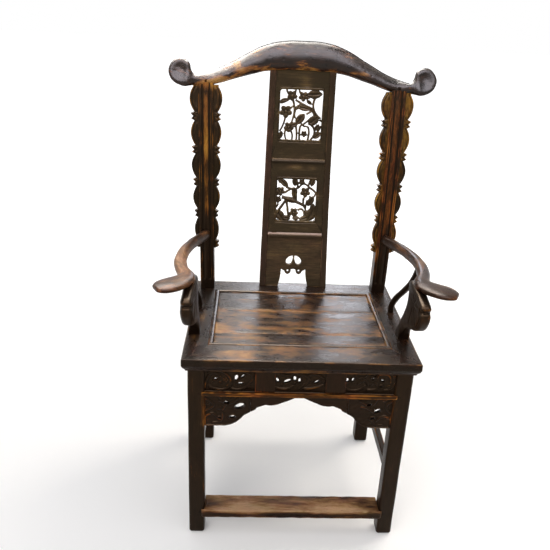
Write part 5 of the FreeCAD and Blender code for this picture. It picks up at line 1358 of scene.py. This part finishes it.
# Openings as (x, z, half length, half width, turn), scrolls as three places and a half width, buds as a
# place and a radius. All in mm, x from the panel's middle and z from its foot. A bracket has its openings
# already.
waistCarvings = {
    "front_left_waist_panel": {
        "openings": ((-33, 36, 3.6, 3.2, 0), (-22, 26, 1.8, 1.8, 0), (15, 40, 8.5, 3.6, 78),
                     (29.5, 44, 7, 2, 55), (25, 25, 7.5, 3, 8)),
        "scrolls": (((-58, 14), (-44, 50), (-22, 44), 3), ((-50, 52), (-30, 58), (-8, 50), 2.6),
                    ((-46, 14), (-14, 8), (4, 26), 3), ((-8, 50), (2, 34), (-6, 18), 2.8),
                    ((6, 10), (28, 10), (46, 26), 3), ((34, 56), (52, 46), (48, 30), 2.8)),
        "buds": ((-10, 34, 7), (44, 16, 6), (-44, 30, 6), (54, 50, 5)),
    },
    "front_centre_waist_panel": {
        "openings": ((-54, 36, 7, 2.8, 110), (-31, 34, 9.5, 4.6, 28), (-14, 41, 7.5, 3, 100),
                     (-13, 27, 2.4, 2.2, 0), (-3, 36, 6.5, 2.8, 95), (37, 33, 8, 3, 36)),
        "scrolls": (((-58, 16), (-36, 12), (-18, 20), 3), ((-46, 54), (-32, 48), (-20, 54), 2.8),
                    ((6, 52), (18, 40), (8, 22), 3), ((10, 14), (30, 16), (52, 24), 3),
                    ((18, 50), (34, 54), (52, 44), 2.8), ((-4, 14), (2, 20), (8, 26), 2.4)),
        "buds": ((22, 36, 7), (54, 34, 6), (0, 52, 6), (-42, 24, 5)),
    },
    "front_right_waist_panel": {
        "openings": ((-58, 40, 6.5, 5, 120), (-43, 41, 6, 2.4, 80), (3, 46, 6, 2.4, 110),
                     (13, 51, 1.8, 1.6, 0), (27, 40, 4.4, 3, -30), (25, 24, 2.8, 2.6, 0)),
        "scrolls": (((-56, 16), (-34, 12), (-14, 24), 3), ((-38, 54), (-24, 46), (-12, 54), 2.8),
                    ((-30, 30), (-16, 40), (-6, 28), 3), ((-6, 14), (14, 18), (12, 34), 3),
                    ((18, 56), (40, 54), (46, 36), 2.8), ((34, 14), (46, 18), (56, 32), 2.6)),
        "buds": ((-20, 38, 6), (0, 30, 6), (42, 24, 6), (54, 50, 5)),
    },
    "front_left_bracket": {
        "scrolls": (((-54, 20), (-34, 34), (-20, 24), 3.4), ((-54, 78), (-30, 60), (-46, 44), 3.4),
                    ((-14, 80), (2, 62), (28, 76), 3), ((-8, 46), (-2, 62), (-14, 70), 3),
                    ((-30, 8), (-12, 14), (-8, 34), 3)),
        "buds": ((-44, 64, 7), (-14, 50, 6), (6, 74, 6), (34, 80, 5)),
    },
    "front_right_bracket": {
        "scrolls": (((54, 20), (34, 34), (14, 20), 3.4), ((54, 78), (36, 66), (46, 44), 3.4),
                    ((10, 80), (-2, 66), (-28, 76), 3), ((6, 46), (-8, 56), (-24, 60), 3.4),
                    ((30, 8), (12, 12), (2, 30), 3)),
        "buds": ((44, 30, 6), (10, 54, 6), (-14, 72, 6), (30, 80, 6)),
    },
}
relief = {
    "depth": 2.6, "rim": (1.6, 3.4), "budPetals": 5, "ovalSides": 18, "overrun": 2.0, "voxel": 1.0,
}


def ovalPrism(x, z, halfLength, halfWidth, turn, low, high):
    angles = np.linspace(0, 2 * math.pi, relief["ovalSides"], endpoint=False)
    along, aside = halfLength * np.cos(angles), halfWidth * np.sin(angles)
    cosine, sine = math.cos(math.radians(turn)), math.sin(math.radians(turn))
    ring = (x + along * cosine - aside * sine, z + along * sine + aside * cosine)
    return loft([np.column_stack((ring[0], np.full(len(angles), depth), ring[1])) for depth in (low, high)])


def cutMesh(mesh, cutters):
    tool = bpy.data.objects.new("tool", joinMeshes(cutters))

    def addModifiers(carrier):
        cut = carrier.modifiers.new("cut", "BOOLEAN")
        cut.operation = "DIFFERENCE"
        cut.object = tool
    result = evaluatedMesh(mesh, addModifiers)
    bpy.data.objects.remove(tool)
    return result


def addCarvedPanel(node, carving):
    low, high = nodeBox(node)
    middle, foot = (low[0] + high[0]) / 2, low[2]
    mesh = solidCopy(node)
    if "waist" in node:
        mesh = bpy.data.meshes.new(node)
        work = bmesh.new()
        bmesh.ops.create_cube(work, size=1.0, matrix=Matrix.LocRotScale(
            Vector((low + high) / 2) * mm, None, Vector(high - low) * mm))
        work.to_mesh(mesh)
        work.free()
        depths = low[1] - relief["overrun"], high[1] + relief["overrun"]
        mesh = cutMesh(mesh, [ovalPrism(middle + x, foot + z, *rest, *depths)
                              for x, z, *rest in carving["openings"]])
    mesh = remeshed(mesh, relief["voxel"], 2)
    points, normals = getPoints(mesh), getNormals(mesh)
    raised = 1 - ease(*relief["rim"], nearWalls(points, normals, 1))
    flat = np.column_stack((points[:, 0] - middle, np.zeros(len(points)), points[:, 2] - foot))
    for *places, half in carving["scrolls"]:
        line = bowed(*((x, 0, z) for x, z in places), 12)
        distance = alongLine(flat, line)[2] / half
        raised = np.maximum(raised, np.sqrt(np.clip(1 - distance ** 2, 0, 1)))
    for x, z, radius in carving["buds"]:
        distance = np.hypot(flat[:, 0] - x, flat[:, 2] - z) / radius
        angle = np.arctan2(flat[:, 2] - z, flat[:, 0] - x)
        petals = 0.75 + 0.25 * np.cos(relief["budPetals"] * angle)
        raised = np.maximum(raised, np.sqrt(np.clip(1 - distance ** 2, 0, 1)) * petals)
    front = ease(0.3, 0.8, -normals[:, 1])
    points[:, 1] += front * relief["depth"] * (1 - raised)
    setPoints(mesh, points)
    roughen(mesh, 0.2, 12, 61)
    addPiece(node, mesh, "x", -0.02, 0.35, 0.4 if "bracket" in node else 0.1)


for node, carving in waistCarvings.items():
    addCarvedPanel(node, carving)
print("waist panels and brackets carved")


# Pegs: one turned pin for every joint that shows one

def pegTree():
    tree, given = newTree("pegs", {
        "Geometry": "Geometry", "Radius": "Float", "Length": "Float", "Material": "Material"})
    axis = addNode(tree, "GeometryNodeInputNamedAttribute", {"Name": "axis"}, data_type="FLOAT_VECTOR")
    pin = addNode(tree, "GeometryNodeMeshCylinder", {
        "Vertices": 10, "Side Segments": 1, "Fill Segments": 2,
        "Radius": given["Radius"], "Depth": given["Length"],
    }).outputs["Mesh"]
    turned = addNode(tree, "FunctionNodeAlignRotationToVector", {
        "Vector": axis.outputs[0]}, axis="Z").outputs[0]
    spots = addNode(tree, "GeometryNodeMeshToPoints", {"Mesh": given["Geometry"]}).outputs[0]
    pins = addNode(tree, "GeometryNodeInstanceOnPoints", {
        "Points": spots, "Instance": pin, "Rotation": turned})
    closeTree(tree, pins.outputs[0], given["Material"])
    return tree


def islandBoxes(mesh):  # low and high corner of every separate solid in a mesh
    points = getPoints(mesh)
    group = np.arange(len(points))
    ends = np.array([tuple(edge.vertices) for edge in mesh.edges])
    while True:
        lowest = np.minimum(group[ends[:, 0]], group[ends[:, 1]])
        merged = group.copy()
        np.minimum.at(merged, ends[:, 0], lowest)
        np.minimum.at(merged, ends[:, 1], lowest)
        if (merged == group).all():
            break
        group = merged
    return [(points[group == label].min(0), points[group == label].max(0)) for label in np.unique(group)]


def addPegs():
    boxes = islandBoxes(solidCopy("pegs"))
    guide = bpy.data.meshes.new("pegSpots")
    guide.from_pydata([tuple((low + high) / 2 * mm) for low, high in boxes], [], [])
    axes = np.array([(high - low) == (high - low).max() for low, high in boxes], np.float32)
    guide.attributes.new("axis", "FLOAT_VECTOR", "POINT").data.foreach_set("vector", axes.ravel())
    size = boxes[0][1] - boxes[0][0]
    mesh = grownMesh(guide, pegTree(), {
        "Radius": float(size.min()) / 2 * mm, "Length": float(size.max()) * mm,
        "Material": woods["peg_wood"]})
    addPiece("pegs", mesh, "y", 0.0, 0.2)


addPegs()
print("pegs set")
